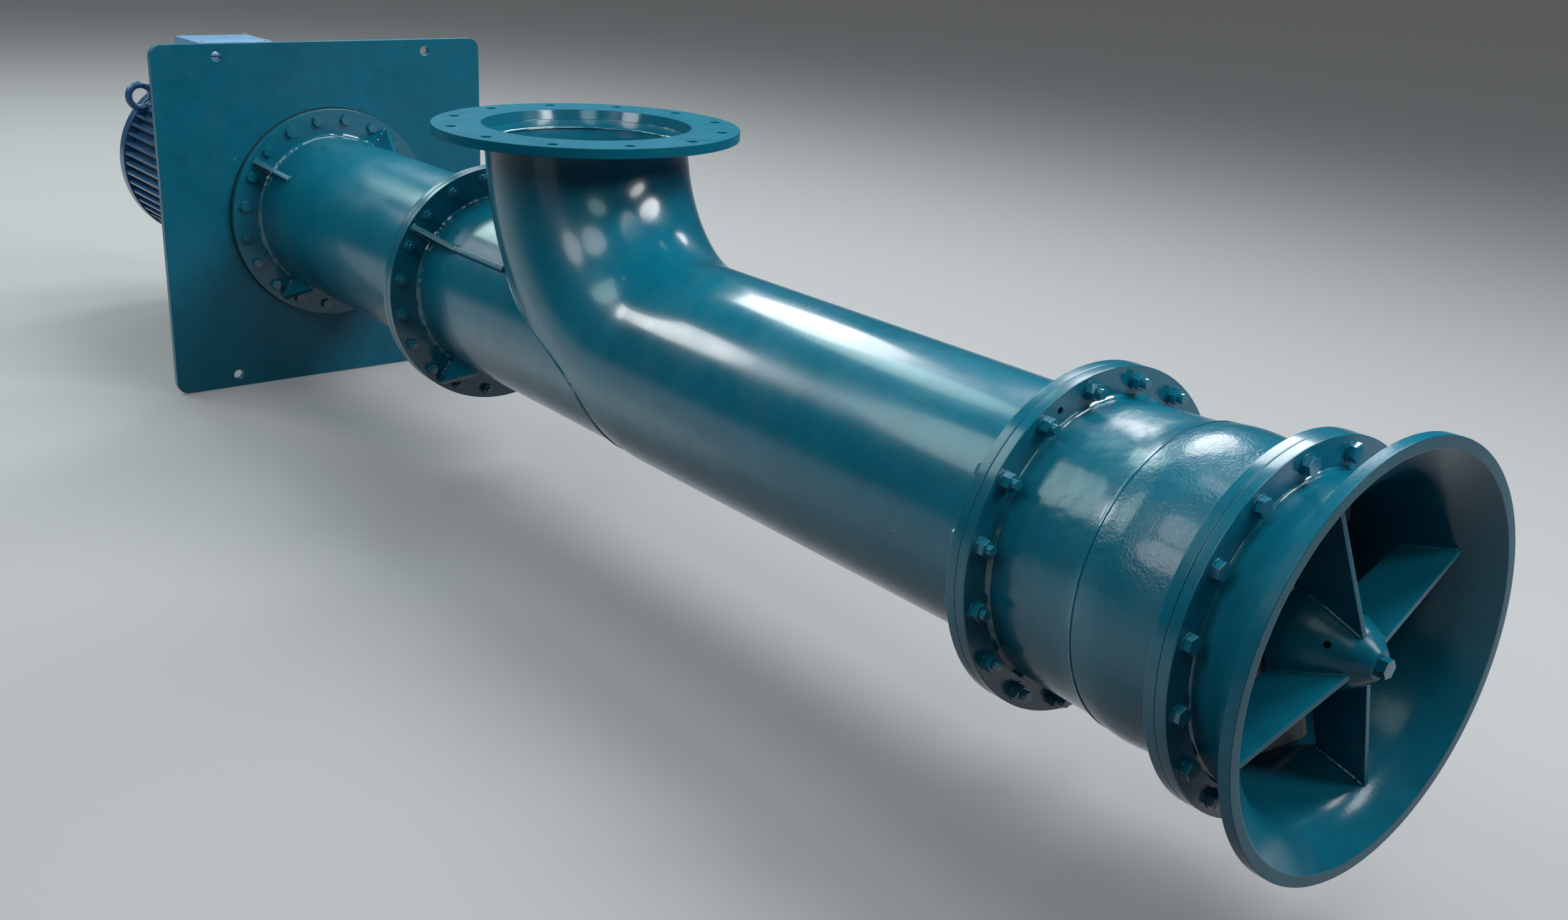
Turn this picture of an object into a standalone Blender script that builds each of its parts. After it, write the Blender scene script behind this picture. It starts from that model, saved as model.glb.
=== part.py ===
"""Vertical turbine pump: motor, stool, square base plate, column, discharge elbow, bowl and suction bell.

Metres, +Z up along the shaft toward the motor. The origin is the centre of the base plate's underside,
and the discharge flange faces +X. Angles round the shaft are counted from -Y toward +X.
"""
from math import acos, cos, pi, radians, sin

import bpy
from mathutils import Matrix, Vector

# Shared sizes
GAP = 0.0003            # clearance left between touching pieces
STEPS = 48              # facets round the large turned pieces
FLANGE_T = 0.018        # thickness of each column flange
RIB_T = 0.012           # thickness of gussets
BELL_RIB_T = 0.009      # thickness of the ribs in the bell
GUSSET_ANGLES = (36.0, 126.0, 216.0, 306.0)
BELL_RIB_ANGLES = (67.5, 157.5, 247.5, 337.5)

# Base plate
PLATE_HALF = 0.450
PLATE_T = 0.020
PLATE_CORNER = 0.030
PLATE_HOLE_X = 0.418
PLATE_HOLE_Y = 0.286
PLATE_HOLE_R = 0.013
PLATE_BORE_R = 0.038

# Column, elbow and flanges
PIPE_R = 0.206
PIPE_IN_R = 0.196
STUB_R = 0.200
STUB_IN_R = 0.190
FLANGE_A_R = 0.2777
FLANGE_R = 0.2690
Z_A = -0.020            # lower face of the flange under the base plate
Z_B = -0.9234           # lower face of the flange pair above the elbow
STRIP_END = -1.2420     # where the long strip on the stub pipe meets the elbow
Z_C = -2.7170           # lower face of the flange pair above the bowl
Z_D = -3.0710           # lower face of the flange pair above the bell
Z_RIM = -3.1940         # front face of the bell
Z_TIP = -3.2040         # end of the plug in the lower bearing hub
BEND_R = 0.395
Z_DISCHARGE = -1.2990
Z_BEND = Z_DISCHARGE - BEND_R
X_DISCHARGE = 0.4150
DISCHARGE_R = 0.3120
DISCHARGE_T = 0.020
DISCHARGE_BORE_R = 0.2125
DISCHARGE_SEAT_R = 0.2045
X_LIP = 0.379           # depth of the lip where the bore meets the pipe's inside
DISCHARGE_BOLT_R = 0.2780
DISCHARGE_HOLE_R = 0.011
DISCHARGE_HOLES = 12

# Bell, hub and rotor
RIM_R = 0.305
RIM_IN_R = 0.288
THROAT_R = 0.204
SHAFT_R = 0.0275
MOTOR_SHAFT_R = 0.0325
TUBE_R = 0.044
TUBE_IN_R = 0.0345
IMPELLER_R = 0.198
IMPELLER_VANES = 5
DIFFUSER_VANES = 6

# Motor and its stool
STOOL_TOP = 0.245
MOTOR_FLANGE_R = 0.275
FRAME_Z0 = 0.310
FRAME_Z1 = 0.952
FIN_R = 0.2500
FIN_ROOT_R = 0.2230
LOW_FIN_R = 0.2300      # fins under the terminal box
EYE_SEAT_R = 0.2400     # fins under the lifting eyes
FINS = 52
COWL_TOP = 1.095
BOX_HALF_Y = 0.110
BOX_Z0 = 0.560
BOX_Z1 = 0.850
BOX_X1 = 0.352
LID_X1 = 0.386
EYE_Z = 0.900
EYE_CENTRE_R = 0.2885
EYE_RING_R = 0.0345
EYE_WIRE_R = 0.0105

TEAL = (0.005, 0.125, 0.165, 1.0)
BLUE = (0.035, 0.150, 0.420, 1.0)
STEEL = (0.420, 0.430, 0.440, 1.0)
METAL = (0.230, 0.205, 0.175, 1.0)
BRASS = (0.480, 0.330, 0.120, 1.0)


def clear_scene():
    """Remove everything that the start-up file holds."""
    for obj in list(bpy.data.objects):
        bpy.data.objects.remove(obj, do_unlink=True)
    for mesh in list(bpy.data.meshes):
        bpy.data.meshes.remove(mesh)
    for coll in list(bpy.data.collections):
        bpy.data.collections.remove(coll)


def new_collection(name):
    """Make a collection under the scene."""
    coll = bpy.data.collections.new(name)
    bpy.context.scene.collection.children.link(coll)
    return coll


def new_material(name, colour, roughness=0.35, metallic=0.0):
    """Make a Principled material."""
    mat = bpy.data.materials.new(name)
    mat.use_nodes = True
    shader = mat.node_tree.nodes["Principled BSDF"]
    shader.inputs["Base Color"].default_value = colour
    shader.inputs["Roughness"].default_value = roughness
    shader.inputs["Metallic"].default_value = metallic
    mat.diffuse_color = colour
    return mat


def direction(angle):
    """Unit vector across the shaft at an angle counted from -Y toward +X."""
    a = radians(angle)
    return Vector((sin(a), -cos(a), 0.0))


def make_object(name, verts, faces, coll, edges=()):
    """Make a mesh object from plain lists."""
    mesh = bpy.data.meshes.new(name)
    mesh.from_pydata([tuple(v) for v in verts], list(edges), faces)
    mesh.update()
    obj = bpy.data.objects.new(name, mesh)
    coll.objects.link(obj)
    return obj


def finish(obj, colour, smooth=True, roughness=0.35, metallic=0.0):
    """Give a node its own material and its shading."""
    obj.data.materials.clear()
    obj.data.materials.append(new_material(obj.name + "_material", colour, roughness, metallic))
    if smooth:
        for poly in obj.data.polygons:
            poly.use_smooth = True
    return obj


def turned(name, profile, coll, steps=STEPS, closed=True):
    """Turn a profile of (radius, z) round Z; it runs down the outer side first."""
    count = len(profile)
    edges = [(i, i + 1) for i in range(count - 1)]
    if closed:
        edges.append((count - 1, 0))
    obj = make_object(name, [(r, 0.0, z) for r, z in profile], [], coll, edges)
    mod = obj.modifiers.new("turn", "SCREW")
    mod.axis = "Z"
    mod.angle = 2 * pi
    mod.steps = steps
    mod.render_steps = steps
    mod.use_merge_vertices = True
    mod.merge_threshold = 0.00005
    mod.use_smooth_shade = True
    return obj


def ring(name, r_out, r_in, z_top, z_low, coll, steps=STEPS):
    """A plain ring or tube."""
    return turned(name, [(r_out, z_top), (r_out, z_low), (r_in, z_low), (r_in, z_top)], coll, steps)


def rod(name, radius, z_top, z_low, coll, steps=24, at=(0.0, 0.0)):
    """A plain round bar along Z as a closed mesh."""
    verts, faces = [], []
    for z in (z_low, z_top):
        for i in range(steps):
            a = 2 * pi * i / steps
            verts.append((at[0] + radius * cos(a), at[1] + radius * sin(a), z))
    for i in range(steps):
        j = (i + 1) % steps
        faces.append((i, j, steps + j, steps + i))
    faces.append(tuple(reversed(range(steps))))
    faces.append(tuple(range(steps, 2 * steps)))
    return make_object(name, verts, faces, coll)


def prism(name, outline, z_low, z_top, coll):
    """Extrude a counter-clockwise outline in XY along Z."""
    n = len(outline)
    verts = [(x, y, z_low) for x, y in outline] + [(x, y, z_top) for x, y in outline]
    faces = [(i, (i + 1) % n, n + (i + 1) % n, n + i) for i in range(n)]
    faces.append(tuple(reversed(range(n))))
    faces.append(tuple(range(n, 2 * n)))
    return make_object(name, verts, faces, coll)


def radial_plates(name, outline, angles, thickness, coll):
    """Plates standing on radial planes: the outline is a list of (radius, z), counter-clockwise."""
    verts, faces = [], []
    n = len(outline)
    for angle in angles:
        u = direction(angle)
        side = Vector((-u.y, u.x, 0.0)) * (thickness / 2)
        base = len(verts)
        for sign in (-1, 1):
            verts += [u * r + side * sign + Vector((0, 0, z)) for r, z in outline]
        faces += [(base + i, base + n + i, base + n + (i + 1) % n, base + (i + 1) % n)
                  for i in range(n)]
        faces.append(tuple(base + i for i in range(n)))
        faces.append(tuple(base + n + i for i in reversed(range(n))))
    return make_object(name, verts, faces, coll)


def box(name, low, high, coll):
    """A plain box between two corners."""
    outline = [(low[0], low[1]), (high[0], low[1]), (high[0], high[1]), (low[0], high[1])]
    return prism(name, outline, low[2], high[2], coll)


def boolean(obj, cutter, operation="DIFFERENCE"):
    """Cut, join or trim one mesh with another."""
    mod = obj.modifiers.new(operation.lower() + "_" + cutter.name, "BOOLEAN")
    mod.operation = operation
    mod.solver = "EXACT"
    mod.object = cutter
    return mod


def bevel(obj, width, segments=2, angle=40.0):
    """Round the sharp edges."""
    mod = obj.modifiers.new("edges", "BEVEL")
    mod.width = width
    mod.segments = segments
    mod.limit_method = "ANGLE"
    mod.angle_limit = radians(angle)
    return mod


def hide_cutters(coll):
    """Cutters never show."""
    for obj in coll.objects:
        obj.hide_render = True
        obj.display_type = "WIRE"


def holes(name, count, circle_r, hole_r, z_low, z_top, coll, first=0.0, steps=10):
    """A cutter with many round holes on a circle."""
    verts, faces = [], []
    for k in range(count):
        centre = direction(first + 360.0 * k / count) * circle_r
        base = len(verts)
        for z in (z_low, z_top):
            for i in range(steps):
                a = 2 * pi * i / steps
                verts.append((centre.x + hole_r * cos(a), centre.y + hole_r * sin(a), z))
        for i in range(steps):
            j = (i + 1) % steps
            faces.append((base + i, base + j, base + steps + j, base + steps + i))
        faces.append(tuple(base + i for i in reversed(range(steps))))
        faces.append(tuple(base + steps + i for i in range(steps)))
    return make_object(name, verts, faces, coll)


def bend(name, r_out, r_in, coll, sections=10, around=STEPS, extra=0.0):
    """The quarter bend from the column to the discharge; with no inner radius it is solid."""
    verts, faces = [], []
    angles = [pi / 2 * k / sections for k in range(sections)] + [acos(1 - X_LIP / BEND_R), pi / 2]
    frames = []
    if extra:
        frames.append((Vector((0, 0, Z_BEND - extra)), Vector((-1, 0, 0))))
    for a in angles:
        outward = Vector((-cos(a), 0, sin(a)))
        frames.append((Vector((BEND_R, 0, Z_BEND)) + outward * BEND_R, outward))
    if extra:
        frames.append((Vector((BEND_R + extra, 0, Z_DISCHARGE)), Vector((0, 0, 1))))
    across = Vector((0, 1, 0))
    shells = [[r_out] * len(frames)]
    if r_in:
        shells.append([r_in] * (len(frames) - 1) + [DISCHARGE_SEAT_R])
    for shell in shells:
        for (centre, outward), r in zip(frames, shell):
            for i in range(around):
                t = 2 * pi * i / around
                verts.append(centre + outward * (r * cos(t)) + across * (r * sin(t)))
    rows = len(frames)

    def index(shell, row, i):
        return (shell * rows + row) * around + i % around

    for row in range(rows - 1):
        for i in range(around):
            faces.append((index(0, row, i), index(0, row + 1, i), index(0, row + 1, i + 1),
                          index(0, row, i + 1)))
            if r_in:
                faces.append((index(1, row, i), index(1, row, i + 1), index(1, row + 1, i + 1),
                              index(1, row + 1, i)))
    if r_in:
        for i in range(around):
            faces.append((index(0, 0, i), index(0, 0, i + 1), index(1, 0, i + 1), index(1, 0, i)))
            faces.append((index(0, rows - 1, i + 1), index(0, rows - 1, i), index(1, rows - 1, i),
                          index(1, rows - 1, i + 1)))
    else:
        faces.append(tuple(index(0, 0, i) for i in range(around)))
        faces.append(tuple(index(0, rows - 1, i) for i in reversed(range(around))))
    return make_object(name, verts, faces, coll)


def vanes(name, count, rows, coll, thickness=0.008, across=3):
    """Twisted vanes as closed blades; each row is (angle, inner radius, outer radius, z)."""
    verts, faces = [], []
    rows = sorted(rows, key=lambda row: -row[3])
    for k in range(count):
        turn = 360.0 * k / count
        base = len(verts)
        for side in (-1, 1):
            for angle, r_in, r_out, z in rows:
                for j in range(across):
                    r = r_in + (r_out - r_in) * j / (across - 1)
                    u = direction(turn + angle)
                    tangent = Vector((-u.y, u.x, 0.0))
                    verts.append(u * r + tangent * (side * thickness / 2) + Vector((0, 0, z)))
        n = len(rows)

        def index(side, row, j):
            return base + (side * n + row) * across + j

        for row in range(n - 1):
            for j in range(across - 1):
                faces.append((index(0, row, j), index(0, row + 1, j), index(0, row + 1, j + 1),
                              index(0, row, j + 1)))
                faces.append((index(1, row, j), index(1, row, j + 1), index(1, row + 1, j + 1),
                              index(1, row + 1, j)))
            for j, flip in ((0, False), (across - 1, True)):
                quad = (index(0, row, j), index(1, row, j), index(1, row + 1, j), index(0, row + 1, j))
                faces.append(tuple(reversed(quad)) if flip else quad)
        for j in range(across - 1):
            faces.append((index(0, 0, j), index(0, 0, j + 1), index(1, 0, j + 1), index(1, 0, j)))
            faces.append((index(0, n - 1, j + 1), index(0, n - 1, j), index(1, n - 1, j),
                          index(1, n - 1, j + 1)))
    return make_object(name, verts, faces, coll)


def base_and_column(parts, cutters):
    """Base plate, straight pipes and the flanges bolted in pairs."""
    corner = []
    for sx, sy, start in ((1, 1, 0), (-1, 1, 90), (-1, -1, 180), (1, -1, 270)):
        cx, cy = sx * (PLATE_HALF - PLATE_CORNER), sy * (PLATE_HALF - PLATE_CORNER)
        corner += [(cx + PLATE_CORNER * cos(radians(start + 15 * i)),
                    cy + PLATE_CORNER * sin(radians(start + 15 * i))) for i in range(7)]
    plate = prism("base_plate", corner, 0.0, PLATE_T, parts)
    bore = rod("base_plate_bore", PLATE_BORE_R, 0.05, -0.05, cutters)
    boolean(plate, bore)
    for sx in (-1, 1):
        for sy in (-1, 1):
            hole = rod("base_plate_hole", PLATE_HOLE_R, 0.05, -0.05, cutters, 20,
                       (sx * PLATE_HOLE_X, sy * PLATE_HOLE_Y))
            boolean(plate, hole)
    finish(plate, TEAL, smooth=False)

    finish(ring("upper_column_pipe", PIPE_R, PIPE_IN_R, -GAP, Z_B + FLANGE_T + GAP / 2, parts), TEAL)
    finish(ring("lower_column_pipe", PIPE_R, PIPE_IN_R, Z_BEND - GAP, Z_C + FLANGE_T + GAP / 2, parts),
           TEAL)

    flange_a = ring("top_column_flange", FLANGE_A_R, PIPE_R + GAP, -GAP, Z_A, parts)
    wedge = [(PIPE_R + GAP, Z_A + 0.002), (PIPE_R + GAP, Z_A - 0.118), (PIPE_R + 0.006, Z_A - 0.118),
             (FLANGE_A_R - 0.010, Z_A - 0.006), (FLANGE_A_R - 0.010, Z_A + 0.002)]
    boolean(flange_a, radial_plates("top_gussets", wedge, GUSSET_ANGLES, RIB_T, cutters), "UNION")
    finish(flange_a, TEAL)

    finish(ring("elbow_flange_upper", FLANGE_R, PIPE_R + GAP, Z_B + 2 * FLANGE_T,
                Z_B + FLANGE_T + GAP / 2, parts), TEAL)
    flange_b = ring("elbow_flange_lower", FLANGE_R, STUB_R + GAP, Z_B + FLANGE_T - GAP / 2, Z_B, parts)
    wedge = [(STUB_R + GAP, Z_B + 0.002), (STUB_R + GAP, Z_B - 0.112), (STUB_R + 0.008, Z_B - 0.112),
             (FLANGE_R - 0.006, Z_B - 0.006), (FLANGE_R - 0.006, Z_B + 0.002)]
    boolean(flange_b, radial_plates("elbow_gussets", wedge, GUSSET_ANGLES, RIB_T, cutters), "UNION")
    strip = [(STUB_R + GAP, Z_B + 0.002), (STUB_R + GAP, STRIP_END), (STUB_R + 0.009, STRIP_END),
             (STUB_R + 0.009, Z_B + 0.002)]
    boolean(flange_b, radial_plates("elbow_strip", strip, GUSSET_ANGLES[:1], RIB_T, cutters), "UNION")
    finish(flange_b, TEAL)

    finish(ring("bowl_flange_upper", FLANGE_R, PIPE_R + GAP, Z_C + 2 * FLANGE_T,
                Z_C + FLANGE_T + GAP / 2, parts), TEAL)
    finish(ring("bowl_flange_lower", FLANGE_R, 0.2223, Z_C + FLANGE_T - GAP / 2, Z_C, parts), TEAL)
    finish(ring("bell_flange_upper", FLANGE_R + 0.001, 0.2243, Z_D + 2 * FLANGE_T,
                Z_D + FLANGE_T + GAP / 2, parts), TEAL)
    finish(ring("bell_flange_lower", FLANGE_R + 0.001, 0.2243, Z_D + FLANGE_T - GAP / 2, Z_D, parts), TEAL)


def elbow(parts, cutters):
    """The discharge elbow, the stub pipe that runs into its back, and the discharge flange."""
    body = bend("discharge_elbow", PIPE_R, PIPE_IN_R, parts)
    boolean(body, rod("elbow_shaft_hole", TUBE_R + GAP, -0.9, -1.6, cutters))
    finish(body, TEAL)

    stub = ring("elbow_stub_pipe", STUB_R, STUB_IN_R, Z_B + FLANGE_T - GAP / 2, Z_BEND + 0.02, parts)
    boolean(stub, bend("stub_trim", PIPE_R + GAP, 0.0, cutters, extra=0.05))
    finish(stub, TEAL)

    x0 = X_DISCHARGE - DISCHARGE_T
    flange = turned("discharge_flange", [
        (DISCHARGE_R, X_DISCHARGE), (DISCHARGE_R, x0 + GAP), (DISCHARGE_SEAT_R, x0 + GAP),
        (DISCHARGE_BORE_R, X_DISCHARGE)], parts)
    boolean(flange, holes("discharge_holes", DISCHARGE_HOLES, DISCHARGE_BOLT_R, DISCHARGE_HOLE_R,
                          x0 - 0.02, X_DISCHARGE + 0.02, cutters, first=15.0))
    turn = Matrix.Rotation(pi / 2, 4, "Y")
    flange.matrix_world = Matrix.Translation((0, 0, Z_DISCHARGE)) @ turn
    cutters.objects["discharge_holes"].matrix_world = flange.matrix_world
    finish(flange, TEAL)
    return flange


def bowl_and_bell(parts, cutters):
    """Bowl, diffuser, bell, ribs, lower bearing hub and its plug."""
    z_top = Z_C + FLANGE_T - GAP / 2
    z_joint = Z_D + FLANGE_T
    finish(turned("pump_bowl", [
        (0.2220, z_top), (0.2220, Z_C), (0.2245, -2.760), (0.2260, -2.840), (0.2300, -2.870),
        (0.2350, -2.895), (0.2365, -2.920), (0.2345, -2.950), (0.2290, -2.985), (0.2250, -3.015),
        (0.2240, -3.030), (0.2240, z_joint + GAP / 2), (THROAT_R, z_joint + GAP / 2),
        (THROAT_R, z_top)], parts), TEAL)

    hub = turned("diffuser", [
        (0.0460, -2.7190), (0.0620, -2.7600), (0.0860, -2.8300), (0.1020, -2.8900), (0.1060, -2.9300),
        (0.0283, -2.9300), (0.0283, -2.7190)], parts, 32)
    rows = [(0.0, 0.040, THROAT_R - 0.0009, -2.740), (4.0, 0.052, THROAT_R - 0.0009, -2.790),
            (14.0, 0.070, THROAT_R - 0.0009, -2.850), (34.0, 0.085, THROAT_R - 0.0009, -2.915)]
    boolean(hub, vanes("diffuser_vanes", DIFFUSER_VANES, rows, cutters), "UNION")
    finish(hub, TEAL)

    finish(turned("suction_bell", [
        (0.2240, z_joint - GAP / 2), (0.2240, Z_D - 0.006), (0.2265, -3.092), (0.2340, -3.112),
        (0.2460, -3.132), (0.2640, -3.152), (0.2860, -3.168), (RIM_R, -3.177), (RIM_R, Z_RIM),
        (RIM_IN_R, Z_RIM), (0.2700, -3.181), (0.2530, -3.167), (0.2400, -3.152), (0.2300, -3.132),
        (0.2220, -3.112), (0.2140, -3.092), (0.2080, -3.078), (THROAT_R, -3.066),
        (THROAT_R, z_joint - GAP / 2)], parts), TEAL)

    outline = [(0.0785, -3.0800), (0.0785, -3.0942), (0.0660, -3.1230), (0.0492, -3.1530),
               (0.0390, -3.1714), (0.2402, -3.1535), (0.2334, -3.1410), (0.2237, -3.1190),
               (0.2157, -3.0990), (0.2078, -3.0800)]
    for k, angle in enumerate(BELL_RIB_ANGLES):
        finish(radial_plates("bell_rib_%d" % (k + 1), outline, (angle,), BELL_RIB_T, parts), TEAL,
               smooth=False)

    finish(turned("bearing_hub", [
        (0.0780, -3.074), (0.0780, -3.0940), (0.0655, -3.1228), (0.0487, -3.1528), (0.0385, -3.1712),
        (0.0200, -3.1905), (0.0110, -3.1905), (0.0110, -3.1420), (0.0285, -3.1420), (0.0285, -3.074)],
        parts, 32), TEAL)
    finish(turned("hub_plug", [
        (0.0000, -3.1430), (0.0105, -3.1430), (0.0105, -3.1910), (0.0145, -3.1910), (0.0145, Z_TIP),
        (0.0000, Z_TIP)], parts, 6, closed=False), TEAL, smooth=False)


def rotor(parts, cutters):
    """Impeller, line shaft, coupling and motor shaft; they turn together about Z."""
    hub = turned("impeller", [
        (0.1020, -2.9420), (0.1000, -2.9620), (0.0780, -3.0100), (0.0560, -3.0450), (0.0480, -3.0640),
        (SHAFT_R + GAP, -3.0640), (SHAFT_R + GAP, -2.9420)], parts, 32)
    rows = [(32.0, 0.050, IMPELLER_R, -3.0620), (54.0, 0.056, IMPELLER_R, -3.0420),
            (74.0, 0.068, IMPELLER_R, -3.0180), (90.0, 0.080, IMPELLER_R, -2.9920),
            (102.0, 0.092, IMPELLER_R, -2.9640)]
    boolean(hub, vanes("impeller_vanes", IMPELLER_VANES, rows, cutters, thickness=0.009), "UNION")
    finish(hub, METAL, metallic=0.7, roughness=0.55)

    finish(rod("line_shaft", SHAFT_R, 0.1470, -3.1340, parts), STEEL, metallic=0.9)
    finish(turned("shaft_coupling", [
        (0.0500, 0.1980), (0.0500, 0.1720), (0.0850, 0.1720), (0.0850, 0.1280), (0.0500, 0.1280),
        (0.0500, 0.1020), (SHAFT_R + GAP, 0.1020), (SHAFT_R + GAP, 0.1490),
        (MOTOR_SHAFT_R + GAP, 0.1490), (MOTOR_SHAFT_R + GAP, 0.1980)], parts, 24), STEEL, metallic=0.9)
    finish(rod("motor_shaft", MOTOR_SHAFT_R, 0.2950, 0.1510, parts), STEEL, metallic=0.9)


def inside_column(parts, cutters):
    """Shaft tube from the bowl to the base plate, and the seal housing on the plate."""
    finish(ring("shaft_tube", TUBE_R, TUBE_IN_R, -GAP, -2.7187, parts, 24), TEAL)
    finish(turned("shaft_seal_housing", [
        (0.0520, 0.0880), (0.0520, 0.0480), (0.0820, 0.0480), (0.0820, PLATE_T + GAP),
        (0.0287, PLATE_T + GAP), (0.0287, 0.0880)], parts, 24), TEAL)


def motor(parts, cutters):
    """Motor stool and the vertical motor."""
    z0 = PLATE_T + GAP
    stool = ring("motor_stool", 0.2100, 0.2000, STOOL_TOP, z0, parts)
    boolean(stool, box("stool_windows", (-0.105, -0.40, 0.075), (0.105, 0.40, 0.195), cutters))
    finish(stool, TEAL)
    finish(ring("stool_foot_ring", 0.2650, 0.2103, z0 + 0.020, z0, parts), TEAL)
    finish(ring("stool_top_ring", MOTOR_FLANGE_R, 0.2103, STOOL_TOP, STOOL_TOP - 0.020, parts), TEAL)

    finish(turned("motor_flange_shield", [
        (0.0, FRAME_Z0 - GAP), (0.2150, FRAME_Z0 - GAP), (0.2300, 0.2780), (0.2550, 0.2680),
        (MOTOR_FLANGE_R, 0.2680), (MOTOR_FLANGE_R, STOOL_TOP + GAP), (0.0380, STOOL_TOP + GAP),
        (0.0380, 0.3020), (0.0, 0.3020)], parts, STEPS, closed=False), BLUE)

    outline = []
    pitch = 360.0 / FINS
    for k in range(FINS):
        centre = pitch * k
        near_box = abs((centre - 90.0 + 180.0) % 360.0 - 180.0) < 29.0
        near_eye = min(abs((centre - a + 180.0) % 360.0 - 180.0) for a in (45.0, 225.0)) < 5.0
        tip = LOW_FIN_R if near_box else (EYE_SEAT_R if near_eye else FIN_R)
        for offset, radius in ((-0.36, FIN_ROOT_R), (-0.17, tip), (0.17, tip), (0.36, FIN_ROOT_R)):
            u = direction(centre + offset * pitch) * radius
            outline.append((u.x, u.y))
    frame = prism("motor_frame", outline, FRAME_Z0, FRAME_Z1, parts)
    finish(frame, BLUE, smooth=False)

    finish(turned("motor_end_shield", [
        (0.0, FRAME_Z1 + 0.048), (0.2500, FRAME_Z1 + 0.048), (0.2540, FRAME_Z1 + 0.044),
        (0.2540, FRAME_Z1 + GAP + 0.004), (0.2500, FRAME_Z1 + GAP), (0.0, FRAME_Z1 + GAP)], parts,
        STEPS, closed=False), BLUE)
    z1 = FRAME_Z1 + 0.048 + GAP
    finish(turned("motor_fan_cowl", [
        (0.0, COWL_TOP), (0.1750, COWL_TOP), (0.2080, COWL_TOP - 0.010), (0.2280, COWL_TOP - 0.035),
        (0.2340, COWL_TOP - 0.065), (0.2340, z1), (0.0, z1)], parts, STEPS, closed=False), BLUE)

    saddle = [direction(90.0 + 26.6 - 3.8 * k) * (LOW_FIN_R + 0.0006) for k in range(15)]
    side = BOX_HALF_Y - 0.006
    outline = [(BOX_X1, -side), (BOX_X1, side)] + [(v.x, v.y) for v in saddle]
    body = prism("terminal_box", outline, BOX_Z0 + 0.006, BOX_Z1 - 0.006, parts)
    finish(body, BLUE, smooth=False)
    n = [(BOX_X1 + GAP, BOX_Z0), (BOX_X1 + GAP, BOX_Z1), (BOX_X1 + 0.014, BOX_Z1),
         (LID_X1, BOX_Z1 - 0.016), (LID_X1, BOX_Z0 + 0.075), (BOX_X1 + 0.014, BOX_Z0)]
    verts = [(x, -BOX_HALF_Y, z) for x, z in n] + [(x, BOX_HALF_Y, z) for x, z in n]
    c = len(n)
    faces = [(i, (i + 1) % c, c + (i + 1) % c, c + i) for i in range(c)]
    faces.append(tuple(reversed(range(c))))
    faces.append(tuple(range(c, 2 * c)))
    lid = make_object("terminal_box_lid", verts, faces, parts)
    bevel(lid, 0.003)
    finish(lid, BLUE, smooth=False)
    for k, z in enumerate((0.640, 0.770)):
        gland = rod("cable_gland_%d" % (k + 1), 0.021, 0.042, 0.0, parts, 6)
        gland.matrix_world = Matrix.Translation((0.300, BOX_HALF_Y - 0.006 + GAP, z)) @ Matrix.Rotation(
            -pi / 2, 4, "X")
        finish(gland, BRASS, smooth=False, metallic=0.6)

    for k, angle in enumerate((45.0, 225.0)):
        u = direction(angle)
        eye = make_ring_eye("motor_eye_bolt_%d" % (k + 1), parts)
        shank_low = EYE_SEAT_R - EYE_CENTRE_R + 0.0003
        shank = rod("eye_shank_%d" % (k + 1), 0.0145, -EYE_RING_R + 0.004, shank_low, cutters, 12)
        boolean(eye, shank, "UNION")
        turn = Matrix((( -u.y, 0.0, u.x), (u.x, 0.0, u.y), (0.0, 1.0, 0.0))).to_4x4()
        place = Matrix.Translation(u * EYE_CENTRE_R + Vector((0, 0, EYE_Z))) @ turn
        eye.matrix_world = place
        shank.matrix_world = place
        finish(eye, BLUE)


def make_ring_eye(name, coll, around=20, wire=8):
    """A plain lifting ring in its own XZ plane, with the shank side down."""
    verts, faces = [], []
    for i in range(around):
        a = 2 * pi * i / around
        for j in range(wire):
            b = 2 * pi * j / wire
            r = EYE_RING_R + EYE_WIRE_R * cos(b)
            verts.append((r * cos(a), EYE_WIRE_R * sin(b), r * sin(a)))
    for i in range(around):
        for j in range(wire):
            a0, a1 = i * wire + j, i * wire + (j + 1) % wire
            b0, b1 = ((i + 1) % around) * wire + j, ((i + 1) % around) * wire + (j + 1) % wire
            faces.append((a0, a1, b1, b0))
    return make_object(name, verts, faces, coll)


def main():
    """Build the pump."""
    clear_scene()
    parts = new_collection("vertical_turbine_pump")
    cutters = new_collection("cutters")
    base_and_column(parts, cutters)
    elbow(parts, cutters)
    bowl_and_bell(parts, cutters)
    rotor(parts, cutters)
    inside_column(parts, cutters)
    motor(parts, cutters)
    hide_cutters(cutters)


main()
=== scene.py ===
"""Looks of a vertical turbine pump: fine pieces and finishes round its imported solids.

Metres, +Z up along the shaft toward the motor, discharge toward +X. Angles round the shaft are in
degrees from -Y toward +X, as in the solids. One object unit is one metre, so a pattern's scale is
1 / its size.
"""
import logging
import math
import random
from dataclasses import dataclass
from enum import Enum
from typing import Any, Callable, Iterable, NamedTuple, Optional, Sequence

import bmesh
import bpy
from bmesh.types import BMEdge, BMesh, BMVert
from bpy.types import Material, Node, NodeSocket, NodeTree
from mathutils import Matrix, Vector


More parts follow.
